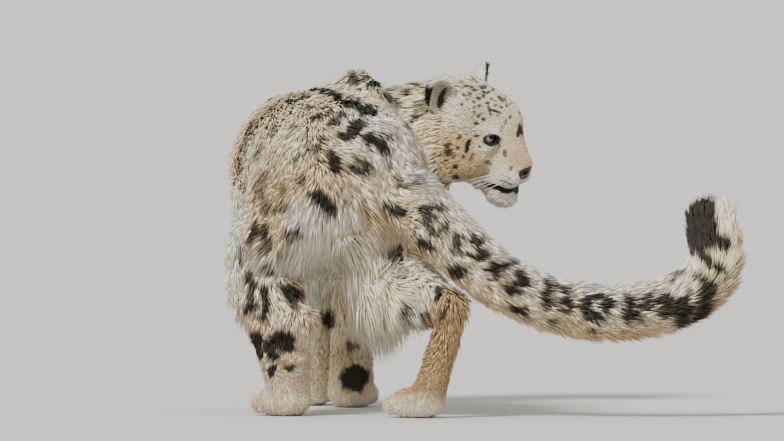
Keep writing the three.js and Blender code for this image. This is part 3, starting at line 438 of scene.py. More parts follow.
# The row frame's origin is the middle of the model, on the floor.
low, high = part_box("eye_right")
SHIFT = (np.array(low) + np.array(high)) * 500 - from_head(EYE_AT * [1, -1, 1])


def to_row(p):
    return (np.asarray(p, float) + SHIFT) / 1000


waves = {}


def noise(p, size, seed):
    """Smooth noise from about -1 to 1 whose features are about size millimetres."""
    if (size, seed) not in waves:
        local = np.random.default_rng(seed * 97 + int(size * 10))
        waves[size, seed] = (unit(local.normal(size=(14, 3))) * local.uniform(0.6, 1.5, (14, 1)) * 3.1 / size,
                             local.uniform(0, 6.28, 14))
    w, phase = waves[size, seed]
    return np.sin(p @ w.T + phase).sum(1) / 3.2


def drift(p, size, seeds):
    """A shift of each point by smooth noise, one seed to each axis."""
    return np.column_stack([noise(p, size, s) for s in seeds])


# The skin, refined over the head and again over the face
CELL, HEAD_MIDDLE = 5.0, [30, 0, 0]
points, quads = surface(skin_distance, (-330, -140, -10), (660, 740, 660), CELL)
points = settle(skin_distance, points)
mesh = bpy.data.meshes.new("skin")
mesh.from_pydata(points.tolist(), [], quads.tolist())
bm = bmesh.new()
bm.from_mesh(mesh)
for forward in (-70, 40):
    co = np.array([v.co for v in bm.verts])
    h = to_head(co)
    chosen = (np.linalg.norm(h - HEAD_MIDDLE, axis=1) < 150) & (h[:, 0] > forward) & (h[:, 2] > -125)
    bm.verts.ensure_lookup_table()
    edges = [e for e in bm.edges if chosen[e.verts[0].index] and chosen[e.verts[1].index]]
    bmesh.ops.subdivide_edges(bm, edges=edges, cuts=1, use_grid_fill=True)
    bm.verts.index_update()
bmesh.ops.triangulate(bm, faces=bm.faces[:])
bm.to_mesh(mesh)
bm.free()
points = np.array([v.co for v in mesh.vertices])
near_head = np.linalg.norm(to_head(points) - HEAD_MIDDLE, axis=1) < 170
points[near_head] = settle(skin_distance, points[near_head], 2, 1.5)
faces = np.array([f.vertices[:] for f in mesh.polygons])
normals = vertex_normals(points, faces)
skin_found = parts_of(points)
skin_part = np.column_stack(list(skin_found.values())).argmin(1)
print("skin", len(points), len(faces))

# Roots of the tufts, spread over the skin as thickly as each region needs
DENSITY = {"tail": 0.125, "ears": 0.33, "face": 0.62, "head": 0.3, "feet": 0.16, "body": 0.088}
PARTS = list(skin_found)
CORE_PART, TAIL_PART, HEAD_PART, EARS = [PARTS.index(name) for name in ("core", "tail", "head", "ears")]
corners = points[faces]
areas = np.linalg.norm(np.cross(corners[:, 1] - corners[:, 0], corners[:, 2] - corners[:, 0]), axis=1) / 2
centre = corners.mean(1)
region = skin_part[faces[:, 0]]
hc = to_head(centre)
pad, ahead = nose_pad(hc)
near_eye = np.linalg.norm(mirrored(hc) - EYE_AT, axis=1) < EYE_RADIUS + 3.2
bare = near_eye | ((pad < 2) & (ahead > 102))
on_face = (region == HEAD_PART) & (hc[:, 0] > 40)
wheres = {"tail": region == TAIL_PART, "ears": region == EARS, "face": on_face,
          "head": region == HEAD_PART, "feet": centre[:, 2] < 190}
thick = np.select(list(wheres.values()), [DENSITY[name] for name in wheres], DENSITY["body"])
thick = np.where(bare | (centre[:, 2] < 4), 0, thick)
share = areas * thick
TUFTS = 183000
pick = rng.choice(len(faces), TUFTS, p=share / share.sum())
u, v = rng.random((2, TUFTS, 1))
u, v = np.where(u + v > 1, 1 - u, u), np.where(u + v > 1, 1 - v, v)
tri = corners[pick]
root = tri[:, 0] + (tri[:, 1] - tri[:, 0]) * u + (tri[:, 2] - tri[:, 0]) * v
normal = unit(sum(normals[faces[pick, i]] * w for i, w in ((0, 1 - u - v), (1, u), (2, v))))
region = region[pick]
hr = to_head(root)
print("tufts", {PARTS[i]: int((region == i).sum()) for i in range(len(PARTS))})


def lie_of(p, n, found):
    """The way the coat lies: tailwards on the body, down the legs, out along the tail, back from the nose."""
    total = np.zeros_like(p)
    for name, rings, sign in [("core", spine, -1), ("tail", tail, 1)] + [(k, legs[k], 1) for k in LEGS]:
        w = np.exp(-np.clip(found[name], 0, 200) / 14)
        _, way, _ = limb_place(p, rings)
        if name == "core":
            way = way * sign + np.array([0, 0, -0.55])
        if "leg" in name:
            way = way + np.array([0, 0, -0.2])
        total += way * w[:, None]
    h = to_head(p)
    back = np.column_stack([-np.ones(len(p)), np.sign(h[:, 1]) * 0.35, 0.25 * np.sign(h[:, 2] + 10)])
    back[:, 2] -= 0.5 * smooth(-h[:, 2], 10, 60)
    w = np.exp(-np.clip(np.minimum(found["head"], found["ears"]), 0, 200) / 9) * 1.6
    total += (back @ HEAD) * w[:, None]
    return unit(total - n * dot(total, n)[:, None])


found = parts_of(root)
lie = lie_of(root, normal, found)
wander = drift(root, 60, (1, 2, 3)) * 0.35 + rng.normal(size=root.shape) * 0.12
lie = unit(lie + wander - normal * dot(wander, normal)[:, None])

# Length, width and lift of each tuft: the last three lengths are added to the others
HAIR = {"body": 34.0, "tail": 38, "ear": 9, "belly": 34, "groin": 52, "chin": 13}
is_tail, is_head, is_ear = region == TAIL_PART, region == HEAD_PART, region == EARS
is_leg = (region > HEAD_PART) & (region < EARS)
low_leg = smooth(root[:, 2], 230, 90) * is_leg
belly = smooth(-normal[:, 2], 0.1, 0.7) * (~is_head & ~is_tail) * smooth(root[:, 2], 120, 230)
length = np.where(is_tail, HAIR["tail"], HAIR["body"])
length = length + HAIR["belly"] * belly
length = length * (1 - low_leg) + (9 + 8 * smooth(root[:, 2], 30, 140)) * low_leg
face = 20 - 11 * smooth(hr[:, 0], -10, 60) - 4 * smooth(hr[:, 0], 70, 115)
face += 10 * smooth(-hr[:, 2], 60, 90) * smooth(hr[:, 0], 60, 20)
length = np.where(is_head, face, length)
length = np.where(is_ear, HAIR["ear"], length)
between = np.hypot((root[:, 0] + 32) / 82, (root[:, 2] - 268) / 75)
groin = smooth(between, 1.15, 0.6) * smooth(root[:, 1], 300, 240)
hind = [CORE_PART, PARTS.index("hindleg_left"), PARTS.index("hindleg_right")]
groin = groin * np.isin(region, hind) * smooth(normal[:, 2], 0.3, -0.1)
length = length + HAIR["groin"] * groin
chin = is_head * smooth(hr[:, 2], -82, -94) * smooth(hr[:, 0], 40, 70)
length = length + HAIR["chin"] * chin
length *= rng.uniform(0.75, 1.25, TUFTS)
lift = np.radians(np.where(is_tail, 27, np.where(is_head, 17, np.where(is_ear, 14, 22))) + 10 * belly)
lift = lift + rng.normal(size=TUFTS) * 0.09
width = np.clip(length * 0.105, 1.0, 4.2) * rng.uniform(0.7, 1.3, TUFTS)
droop = 0.05 + 0.55 * belly + 0.5 * groin + 0.5 * chin + 0.12 * is_tail * smooth(-normal[:, 2], -0.2, 0.6)

side = unit(np.cross(normal, lie))
start = root - normal * np.minimum(1.5, length * 0.1)[:, None]
down = np.array([0, 0, -1.0])
aim = lie * np.cos(lift)[:, None] + normal * np.sin(lift)[:, None]
bent = unit(aim + down * (droop * 0.5)[:, None])
middle = root + bent * (length * 0.5)[:, None]
settled = lift * 0.55
later = unit(lie * np.cos(settled)[:, None] + normal * np.sin(settled)[:, None] + down * droop[:, None])
tip = middle + later * (length * 0.5)[:, None]

# Tips gather into clumps
CLUMP = 9
seeds = rng.choice(TUFTS, TUFTS // CLUMP, replace=False)
tree = kdtree.KDTree(len(seeds))
for i, s in enumerate(seeds):
    tree.insert(root[s], i)
tree.balance()
leader = seeds[np.array([tree.find(r)[1] for r in root])]
same = dot(normal, normal[leader]) > 0.6
pull = np.where(same & (region == region[leader]), rng.uniform(0.15, 0.6, TUFTS), 0)[:, None]
tip = tip + (tip[leader] - tip) * pull
middle = middle + (middle[leader] - middle) * pull * 0.35
tip[:, 2] = np.maximum(tip[:, 2], 1.0)
middle[:, 2] = np.maximum(middle[:, 2], 1.0)


# Markings seen from the photograph's side: place right and up in that view, half sizes, turn, darkness
SPOTS = [
    [-215, 576, 11.5, 6.4, 20, 0.6], [-195, 587, 12.8, 5.5, 10, 0.6], [-171, 591, 13.7, 5.5, 0, 0.7],
    [-221, 558, 8.2, 4.6, 30, 0.5], [-175, 573, 11.9, 5.5, 10, 0.6], [-158, 580, 9.2, 5.5, 0, 0.6],
    [-127, 591, 20.6, 7.3, -15, 0.95], [-103, 581, 16.5, 6.4, -20, 0.95], [-74, 566, 17.4, 7.8, -5, 1.0],
    [-44, 552, 19.2, 9.2, -5, 1.0], [-136, 539, 11.0, 6.4, 0, 0.7], [-149, 558, 8.2, 4.1, 0, 0.5],
    [-112, 549, 10.1, 6.4, 20, 0.65], [-106, 530, 12.8, 7.8, 10, 0.8], [-93, 544, 11.0, 6.4, 40, 0.75],
    [-78, 511, 16.5, 10.1, 10, 0.9], [-63, 528, 14.7, 9.2, 10, 0.9], [-32, 504, 22, 10.0, -12, 1.0],
    [-16, 488, 14, 9.5, -45, 0.95], [-40, 488, 8.2, 5.5, 0, 0.6], [4, 508, 9.2, 4.6, 0, 0.5],
    [-110, 473, 11.9, 6.4, -40, 0.9], [-102, 454, 13.7, 10.1, -35, 0.95], [-121, 462, 8.2, 4.6, -20, 0.6],
    [-136, 484, 11.9, 6.4, 10, 0.6], [-127, 508, 9.2, 4.6, 0, 0.6], [-125, 495, 6.9, 3.7, 0, 0.5],
    [-171, 471, 10.1, 5.5, 30, 0.6], [-151, 493, 8.2, 4.6, 30, 0.5], [-180, 523, 9.2, 5.5, 30, 0.45],
    [-193, 506, 8.2, 5.5, 40, 0.45], [-215, 515, 10.1, 5.5, 30, 0.4], [-236, 488, 9.2, 6.4, 60, 0.5],
    [-243, 471, 8.2, 5.5, 60, 0.45], [-254, 519, 6.4, 13.7, -20, 0.4], [-267, 488, 6.4, 13.7, -15, 0.45],
    [-278, 453, 5.5, 13.7, -10, 0.35], [-63, 467, 9.2, 7.3, -40, 0.75], [-52, 449, 11.0, 14.7, -30, 0.9],
    [-66, 453, 6.4, 5.5, 0, 0.6], [-164, 429, 10.1, 6.9, -70, 0.6], [-195, 408, 6.4, 7.3, 0, 0.4],
    [-226, 440, 7.3, 6.4, 0, 0.45], [-239, 429, 7.3, 5.5, 0, 0.45], [-236, 414, 7.3, 6.4, 0, 0.45],
    [-241, 400, 7.3, 5.5, 0, 0.5], [-228, 423, 6.4, 5.5, 0, 0.45], [-202, 423, 7.3, 5.5, 0, 0.3],
    [-217, 379, 9.2, 9.2, 0, 0.55], [-195, 379, 6.0, 8.2, -30, 0.55], [-227, 384, 5.5, 6.4, 0, 0.5],
    [-236, 395, 6.4, 4.6, 0, 0.4], [-267, 410, 4.6, 9.2, -10, 0.3], [-274, 384, 4.6, 11.0, -10, 0.3],
    [-121, 388, 25.7, 13.7, -42, 1.0], [-86, 379, 4.1, 9.2, 0, 0.5], [-180, 330, 19.2, 8.2, -5, 1.0],
    [-110, 317, 7.3, 3.7, -20, 0.7], [-247, 336, 7.3, 16.5, -5, 0.85], [-229, 331, 8.2, 18.3, 0, 0.8],
    [-254, 314, 8.2, 6.4, 0, 0.7], [-228, 305, 10.1, 11.9, 0, 0.75], [-195, 296, 8.2, 9.2, -30, 0.5],
    [-274, 296, 6.0, 15.6, 0, 0.5], [-276, 279, 5.0, 9.2, 0, 0.45], [-175, 281, 13.7, 4.6, -25, 0.35],
    [-219, 266, 11.9, 8.2, -30, 0.85], [-257, 250, 8.2, 14.7, 10, 0.9], [-253, 226, 6.4, 18.3, 0, 0.7],
    [-256, 202, 13.7, 8.7, 0, 1.0], [-231, 231, 9.2, 6.4, -20, 0.8], [-229, 205, 7.3, 21.1, -5, 1.0],
    [-231, 178, 8.2, 6.4, -30, 0.8], [-182, 226, 21.1, 13.7, -20, 0.95], [-173, 208, 10.1, 9.2, 0, 0.85],
    [-243, 141, 10.5, 17.4, 8, 1.0], [-239, 117, 8.2, 9.2, 10, 0.95], [-196, 141, 22.0, 16.5, -20, 1.0],
    [-221, 128, 8.2, 13.7, 10, 0.9], [-212, 111, 10.1, 9.2, -20, 0.9], [-217, 85, 8.2, 9.2, 0, 0.95],
    [-183, 90, 11.5, 6.0, 10, 0.85], [-119, 176, 14.7, 15.6, 0, 0.9], [-68, 67, 22.5, 21, 0, 0.9],
    [-79, 122, 6.4, 6.4, 0, 0.6], [-66, 124, 5.5, 5.5, 0, 0.5], [-13, 378, 8.2, 6.9, 0, 0.8],
    [10, 370, 14.2, 12.4, 0, 1.0], [6, 296, 15.6, 12.8, 10, 0.85], [-10, 296, 7.3, 5.5, 0, 0.5],
    [17, 261, 6.4, 16.5, -12, 0.35], [23, 194, 7.3, 11.9, -20, 0.85], [36, 163, 6.0, 16.5, -10, 0.9],
    [60, 183, 8.2, 9.2, -40, 0.8], [87, 185, 5.5, 6.4, -60, 0.6], [84, 229, 6.9, 10.1, -35, 0.9],
    [76, 154, 5.5, 4.6, 0, 0.6], [-12, 165, 7.3, 17.4, -15, 0.85], [-55, 183, 6.4, 11.0, 0, 0.45],
    [-1, 458, 6.5, 8.0, 0, 0.45], [4, 436, 9, 6.4, 0, 0.45], [23, 419, 16, 8.5, -20, 0.6],
    [42, 427, 9, 10, 0, 0.6], [47, 457, 10, 5.5, -15, 0.55], [23, 453, 6.4, 5.5, 0, 0.5],
    [84, 379, 13.7, 7.8, -20, 0.75], [64, 371, 12.8, 9.2, 0, 0.8], [58, 352, 10.1, 10.1, 0, 0.85],
    [95, 349, 6.9, 11.9, 0, 0.85], [77, 336, 12.8, 7.3, 0, 0.75], [73, 360, 7.3, 5.5, 0, 0.5],
    [62, 312, 19.7, 9.6, -25, 0.95], [118, 325, 12.8, 7.8, -20, 0.85], [113, 307, 10.1, 7.3, 20, 0.85],
    [152, 320, 11.9, 10.1, -30, 0.9], [161, 296, 12.8, 11.0, -30, 0.9], [138, 294, 12.8, 6.4, -10, 0.85],
    [119, 264, 15.1, 13.3, 0, 1.0], [188, 272, 17.4, 9.2, 10, 0.95], [180, 259, 8.2, 10.1, 0, 0.9],
    [217, 284, 9.2, 6.4, -20, 0.7], [228, 250, 11.5, 17.4, 15, 1.0], [217, 231, 17.4, 9.6, -10, 0.95],
    [222, 194, 14.2, 7.8, -30, 0.95], [-71, 615, 9.2, 11.0, 0, 0.75], [-30, 605, 11.0, 6.4, 0, 0.75],
    [-51, 617, 6.4, 5.5, 0, 0.5], [-60, 593, 4.6, 3.7, 0, 0.4], [-7, 593, 6.0, 20.6, 10, 0.6],
    [9, 597, 5.5, 5.5, 0, 0.8], [30, 595, 8.2, 8.2, 0, 0.85], [49, 602, 6.4, 5.0, 0, 0.85],
    [12, 569, 6.9, 10.1, 0, 0.6], [41, 544, 6.9, 11.5, 0, 0.9], [49, 566, 8.2, 6.4, 0, 0.6],
    [69, 605, 5.5, 4.1, 0, 0.6], [28, 523, 6.4, 9.2, 0, 0.6], [276, 231, 11.2, 16.6, -10, 0.95],
    [281, 206, 16.6, 7.5, -10, 0.9], [308, 233, 10.8, 7.5, -20, 0.85], [314, 209, 8.7, 16.6, 5, 0.95],
    [303, 191, 10.0, 5.0, 0, 0.85], [286, 172, 8.3, 8.3, -40, 0.6], [348, 203, 11.6, 16.6, -10, 0.95],
    [387, 203, 10.4, 17.4, 0, 0.95], [368, 217, 18.2, 6.2, 0, 0.85], [363, 182, 17.4, 7.0, -15, 0.9],
    [359, 158, 5.8, 8.3, -10, 0.8], [423, 195, 11.6, 23.2, -10, 0.95], [437, 184, 12.4, 10.0, -20, 0.85],
    [456, 209, 11.6, 13.3, -20, 0.85], [487, 201, 13.3, 21.6, -12, 0.95], [471, 227, 7.5, 5.8, 0, 0.6],
    [521, 191, 14.9, 29.9, -8, 0.95], [558, 203, 13.3, 39.4, -12, 0.95], [367, 243, 16.6, 4.1, 0, 0.8],
    [485, 257, 12.4, 5.8, -10, 0.6], [233, 193, 12.9, 10.0, -20, 0.95], [551, 352, 29, 50, 0, 1.0],
    [577, 315, 30, 15, -12, 1.0], [578, 275, 31, 8.5, -35, 1.0], [562, 243, 23, 9, -40, 0.95],
    [510, 258, 14, 5, 30, 0.7],
]

# Markings of the head in the same view, worn alike on its other side
HEAD_SPOTS = [
    [126, 609, 2.9, 1.9, 0, 0.9], [136, 602, 3.3, 2.5, 0, 0.9], [144, 612, 2.9, 2.1, 0, 0.9],
    [155, 609, 4.1, 2.1, 0, 0.9], [165, 599, 4.1, 2.1, -20, 0.9], [171, 607, 5, 2.1, -10, 0.9],
    [184, 598, 3.3, 2.1, -20, 0.9], [176, 589, 2.9, 1.9, 0, 0.9], [167, 583, 3.3, 2.1, -50, 0.9],
    [188, 588, 2.1, 1.7, 0, 0.9], [196, 582, 3.3, 1.9, -30, 0.9], [201, 575, 3.7, 2.1, -30, 0.9],
    [159, 579, 3.7, 2.5, 0, 0.9], [143, 586, 2.5, 3.3, -20, 0.9], [133, 584, 2.9, 2.1, -30, 0.9],
    [124, 592, 2.9, 1.9, -40, 0.9], [129, 568, 2.5, 1.2, 0, 0.9], [190, 565, 2.5, 1.7, 0, 0.9],
    [200, 562, 2.5, 1.4, 0, 0.9], [209, 565, 2.1, 1.4, 0, 0.9], [211, 571, 2.1, 1.7, 0, 0.9],
    [178, 556, 2.1, 8.3, 10, 0.95], [188, 556, 8.3, 1.7, -25, 0.95], [174, 570, 2.9, 1.7, 0, 0.9],
    [153, 532, 3.3, 3.3, 0, 0.9], [167, 540, 2.9, 2.9, 0, 0.9], [155, 510, 5.2, 1.2, 5, 0.85],
    [123, 509, 4.1, 2.1, 30, 0.85], [138, 491, 3.3, 10.3, -15, 1], [119, 487, 2.5, 2.9, 0, 0.95],
    [101, 492, 4.1, 4.1, 0, 0.9], [103, 480, 5.4, 5, 0, 0.9], [116, 455, 3.7, 3.3, 0, 0.9],
    [106, 496, 1.7, 1.7, 0, 0.9], [87, 474, 2.9, 1.7, 0, 0.9], [97, 463, 2.5, 1.7, 0, 0.9],
    [118, 435, 5.4, 2.9, 0, 0.85], [125, 420, 2.9, 3.7, 0, 0.85], [176, 461, 6.2, 2.1, -20, 0.6],
    [160, 491, 2.5, 1.7, 0, 0.9], [206, 478, 2.9, 4.1, 0, 0.8], [217, 451, 2.6, 3.4, 0, 0.75],
    [233, 523, 2.5, 12.4, -15, 0.95], [216, 544, 2.1, 2.9, 0, 0.9], [47, 602, 4.1, 3.3, 0, 0.9],
    [30, 596, 3.7, 5.4, 0, 0.85], [67, 607, 3.3, 2.5, 0, 0.9], [19, 589, 2.9, 6.2, 0, 0.8],
    [41, 546, 5, 8.3, 0, 0.9], [147, 476, 2.9, 2.5, 0, 0.8], [83, 488, 2.1, 2.5, 0, 0.7],
    [130, 472, 2.9, 2.5, 0, 0.8], [143, 468, 3.3, 2.9, 0, 0.7], [112, 472, 2.5, 2.9, 0, 0.7],
    [151, 552, 2.1, 2.9, 30, 0.7], [159, 548, 1.7, 3.3, -20, 0.7], [194, 548, 1.7, 4.1, -30, 0.6],
    [207, 536, 1.7, 5.4, -20, 0.6], [201, 523, 1.7, 5, -10, 0.5], [138, 577, 2.5, 1.7, 0, 0.8],
    [149, 573, 2.5, 2.1, 0, 0.8], [159, 565, 2.9, 1.7, -30, 0.8], [151, 563, 2.1, 1.7, 0, 0.7],
    [182, 577, 2.9, 1.7, -30, 0.8], [190, 573, 2.9, 1.7, -30, 0.7], [118, 600, 2.9, 2.1, 0, 0.8],
    [130, 598, 2.1, 1.7, 0, 0.7], [202, 438, 1.0, 0.9, 0, 0.9], [209, 437, 1.0, 0.9, 0, 0.9],
    [215, 434, 1.0, 0.9, 0, 0.9], [205, 432, 0.9, 0.8, 0, 0.8], [212, 430, 0.9, 0.8, 0, 0.8],
    [210, 424, 11, 1.0, -21, 0.75], [168, 590, 3.5, 2, -30, 0.9], [150, 594, 3.2, 2, 0, 0.9],
    [192, 596, 3.0, 2, -30, 0.9], [204, 586, 3.0, 2, -40, 0.9], [145, 600, 3.0, 2, 0, 0.9],
]

CREAM, TAN, GOLD = np.array([[0.88, 0.77, 0.56], [0.66, 0.48, 0.26], [0.52, 0.36, 0.18]])
WHITE, GREY, BLACK = np.array([[0.94, 0.87, 0.75], [0.36, 0.32, 0.26], [0.012, 0.010, 0.008]])
NOSE_COLOUR, RIM, PALE = np.array([[0.026, 0.012, 0.011], [0.012, 0.010, 0.009], [0.90, 0.80, 0.64]])
VIEW_TILT = math.radians(1.5)

# Paler and browner areas in the same view: place, half sizes, colour and how much of it
AREAS = [
    [-15, 275, 105, 130, PALE, 0.9], [-140, 352, 62, 34, WHITE, 0.8], [-148, 128, 16, 48, PALE, 0.7],
    [-12, 352, 40, 22, TAN, 0.5], [8, 250, 18, 60, TAN, 0.3],
    [-290, 300, 26, 130, WHITE, 0.85], [-222, 370, 30, 90, TAN, 0.55], [-40, 358, 30, 24, TAN, 0.6],
    [-60, 430, 60, 30, TAN, 0.4], [-250, 500, 40, 70, GREY * 1.2, 0.3], [-60, 600, 60, 22, WHITE, 0.5],
    [95, 420, 60, 60, TAN, 0.25],
]


def in_view(p):
    """Right and up in the photograph's view."""
    return np.column_stack([p[:, 0], p[:, 2] * math.cos(VIEW_TILT) + p[:, 1] * math.sin(VIEW_TILT)])


def mix(a, b, t):
    return a + (b - a) * np.asarray(t)[:, None]


# Marks of the body, each with how near to the camera it lies
BOLD, HEAD_BOLD = 1.2, 1.28
facing = normals[:, 1] < 0.25
skin_view = in_view(points)
spots = []
for x, z, rx, rz, turn, dark in SPOTS:
    near = facing & (np.hypot(skin_view[:, 0] - x, skin_view[:, 1] - z) < 9)
    if near.any():
        bold = 1 - (1 - dark) ** 1.7
        spots.append([x, z, rx * BOLD, rz * BOLD, math.radians(turn), bold, points[near, 1].min()])
spots = np.array(spots)

# Scattered marks for the sides that the photograph doesn't show: place, radius and whether they are rings
BODY_RING, TAIL_RING, SMALL_SPOT, MOST_MARKS = 26, 21, 10, 900
far_side = (normals[:, 1] > 0.15) & (points[:, 2] > 40)
scatter = []
order = rng.permutation(np.flatnonzero(far_side))
kind = skin_part[order]
kept = np.zeros((0, 3))
for i, s in enumerate(order):
    p, k, up = points[s], kind[i], normals[s, 2]
    if k in (HEAD_PART, EARS) or len(scatter) > MOST_MARKS:
        continue
    ring = (k == CORE_PART and p[2] > 330 and up > -0.5) or k == TAIL_PART
    r = BODY_RING if ring and k == CORE_PART else TAIL_RING if ring else SMALL_SPOT
    if up < -0.55:
        continue
    if len(kept) and (np.linalg.norm(kept - p, axis=1) < (r * 2.05 if ring else 27)).any():
        continue
    kept = np.vstack([kept, p])
    scatter.append([*p, r * rng.uniform(0.8, 1.15), ring, rng.uniform(0.7, 1)])
scatter = np.array(scatter)


def blot(level):
    """1 inside a mark and 0 outside it, from a level that is 1 on its edge."""
    return 1 - smooth(level, 0.85, 1.15)


def oval_level(dx, dz, rx, rz, turn):
    """A level that is 1 on the edge of a turned oval."""
    a = (dx * math.cos(turn) + dz * math.sin(turn)) / rx
    return np.hypot(a, (dz * math.cos(turn) - dx * math.sin(turn)) / rz)


def markings(p, n):
    """How dark the marks of the body are at each point, from 0 to 1."""
    q = p + drift(p, 16, (4, 5, 6)) * 3.2 + drift(p, 6, (7, 8, 9)) * 1.6
    view = in_view(q)
    dark = np.zeros(len(p))
    seen = 1 - smooth(n[:, 1], 0.3, 0.5)
    for x, z, rx, rz, turn, strength, depth in spots:
        r = max(rx, rz) * 1.25
        near = (np.abs(view - [x, z]) < r).all(1) & (np.abs(p[:, 1] - depth) < 50 + r)
        level = oval_level(view[near, 0] - x, view[near, 1] - z, rx, rz, turn)
        dark[near] = np.maximum(dark[near], blot(level) * strength * seen[near])
    hidden = smooth(n[:, 1], 0.3, 0.55)
    broken = 0.4 * (noise(p, 20, 11) > 0.55)
    for x, y, z, r, ring, strength in scatter:
        near = (np.abs(q - [x, y, z]) < r * 1.3).all(1)
        d = np.linalg.norm(q[near] - [x, y, z], axis=1) / r
        level = np.abs(d - 0.8) / 0.24 + broken[near] if ring else d
        dark[near] = np.maximum(dark[near], blot(level) * strength * hidden[near])
    return dark


def head_view(p, n):
    """Where points of the head lie in the view once mirrored to its right side, and which of them face it."""
    h, turned = to_head(p), n @ HEAD.T
    side = np.where(h[:, 1] > 0, -1.0, 1.0)[:, None] * [0, 1, 0] + [1, 0, 1]
    return in_view(from_head(h * side)), smooth(-((turned * side) @ HEAD)[:, 1], -0.25, 0.0)


def head_markings(p, n):
    """How dark the marks of the head are at each point, from 0 to 1."""
    view, seen = head_view(p + drift(p, 9, (21, 22, 23)) * 0.9, n)
    dark = np.zeros(len(p))
    for x, z, rx, rz, turn, strength in HEAD_SPOTS:
        wide, high = rx * HEAD_BOLD + 0.6, rz * HEAD_BOLD + 0.6
        level = oval_level(view[:, 0] - x, view[:, 1] - z, wide, high, math.radians(turn))
        dark = np.maximum(dark, blot(level) * strength * seen)
    return dark


def nose_and_rims(h, m):
    """How far points of the head are bare skin: the nose pad, and the lips with the rims of the eyes."""
    pad, ahead = nose_pad(h)
    pad = smooth(pad, 3.0, 0.6) * smooth(ahead, 98, 106)
    seen = eye_view(m)
    rim = blot(np.hypot((seen[:, 1] + 1) / (EYE_OPEN[0] + 3.6), seen[:, 2] / (EYE_OPEN[1] + 2.6)))
    rim = rim * (np.abs(seen[:, 0]) < 22)
    tear = 4.5 - 2.5 * smooth(-seen[:, 2], 4, 14)
    corner = blot(round_cone(seen, [0, -13, -2], [2, -20, -15], 0, 0) / tear)
    lip = h[:, 2] - MOUTH_AT - mouth_bend(h)
    lips = smooth(lip + 2.2 * noise(h, 9, 51), -13, -9) * smooth(lip, 2.5, 1.0) * smooth(h[:, 0], 62, 72)
    return pad, np.maximum(np.maximum(rim, corner), lips)


def head_colour(p, n, h, m):
    """Pale brow, chin and muzzle, tan cheeks, painted shade behind and below the ears, dark lips, nose and
    rims of the eyes.
    """
    crown = mix(CREAM, GREY * 1.3, 0.3 * smooth(h[:, 2], 15, 55))
    cheek = 0.95 * smooth(h[:, 0], 90, 52) * smooth(h[:, 2], 36, 6) * smooth(m[:, 1], 12, 30)
    base = mix(crown, TAN * 1.08, cheek)
    base = mix(base, TAN * [1.0, 0.84, 0.78], 0.6 * smooth(h[:, 0], 92, 120) * smooth(h[:, 2], -34, -16))
    base = mix(base, WHITE * 0.95, smooth(h[:, 2], -64, -80))
    base = mix(base, WHITE, 0.85 * smooth(h[:, 0], 78, 102) * smooth(h[:, 2], -28, -42))
    # Painted shade, in grey, on the lower back of the head behind and below the ears.
    base = mix(base, GREY, 0.5 * smooth(h[:, 0], -10, -50) * smooth(h[:, 2], 10, -40))
    seen = eye_view(m)
    above = np.hypot((seen[:, 1] - 6) / 24, (seen[:, 2] - 20) / 12)
    below = np.hypot((seen[:, 1] - 12) / 18, (seen[:, 2] + 15) / 7)
    near = np.abs(seen[:, 0]) < 22
    pale = np.maximum(smooth(above, 1.3, 0.6), smooth(below, 1.3, 0.6))
    base = mix(base, WHITE, pale * near * 0.85)
    base = mix(base, BLACK, head_markings(p, n) * 0.97)
    pad, rims = nose_and_rims(h, m)
    base = mix(base, RIM, rims * 0.97)
    return mix(base, NOSE_COLOUR, pad)


def body_colour(p, n, found, on_tail):
    """Cream with tan patches and streaks, paler below, and the areas that the photograph shows."""
    patch = smooth(noise(p, 75, 12) + 0.5 * noise(p, 30, 13), -0.6, 0.9)
    base = mix(CREAM, TAN, 0.5 * patch)
    low = smooth(-n[:, 2], 0.15, 0.65) * smooth(found["head"], 10, 40)
    off_tail = smooth(found["tail"], 5, 25)
    base = mix(base, WHITE * 0.92, low * off_tail)
    base = mix(base, GREY * 1.3, 0.22 * smooth(n[:, 2], 0.45, 0.95) * smooth(found["tail"], 0, 20))
    streak = smooth(noise(p * [1, 1, 0.16], 13, 41), 0.1, 1.2) * smooth(np.abs(n[:, 2]), 0.8, 0.3)
    base = mix(base, TAN, 0.35 * streak * off_tail)
    # Painted highlight: the top of the tail is made whiter. Painted shade: its underside is made tan.
    base = mix(base, WHITE, on_tail * smooth(n[:, 2], -0.1, 0.7) * 0.75)
    base = mix(base, TAN, on_tail * low * 0.5)
    view = in_view(p + drift(p, 40, (31, 32, 33)) * 9)
    front = 1 - smooth(n[:, 1], 0.15, 0.45)
    for x, z, rx, rz, tone, strength in AREAS:
        level = np.hypot((view[:, 0] - x) / rx, (view[:, 1] - z) / rz)
        base = mix(base, tone, smooth(level, 1.25, 0.55) * strength * front * (1 - on_tail))
    return base


def leg_colour(base, p, found):
    """Golden shanks, and painted shade in the creases between the toes."""
    for name, gold, start in (("hindleg_right", 1.0, 0.44), ("hindleg_left", 0.3, 0.5)):
        along, _, _ = limb_place(p, legs[name])
        shank = (found[name] < 14) * smooth(along, start, start + 0.08) * smooth(p[:, 2], 20, 60)
        base = mix(base, GOLD, gold * shank)
    for g in LEGS.values():
        q = p - np.array(g["paw"], float)
        ahead, across = q @ np.array(g["heading"]), q @ unit(np.cross([0, 0, 1], g["heading"]))
        crease = np.min([np.abs(across - 66 * c) for c in (-1 / 3, 0, 1 / 3)], axis=0)
        on_toes = smooth(ahead, 22, 34) * (np.abs(across) < 34) * (np.linalg.norm(q, axis=1) < 75)
        # Painted shade, in dark grey, along the creases between the toes.
        base = mix(base, GREY * 0.5, 0.7 * smooth(crease, 4.5, 1.5) * on_toes)
    return base


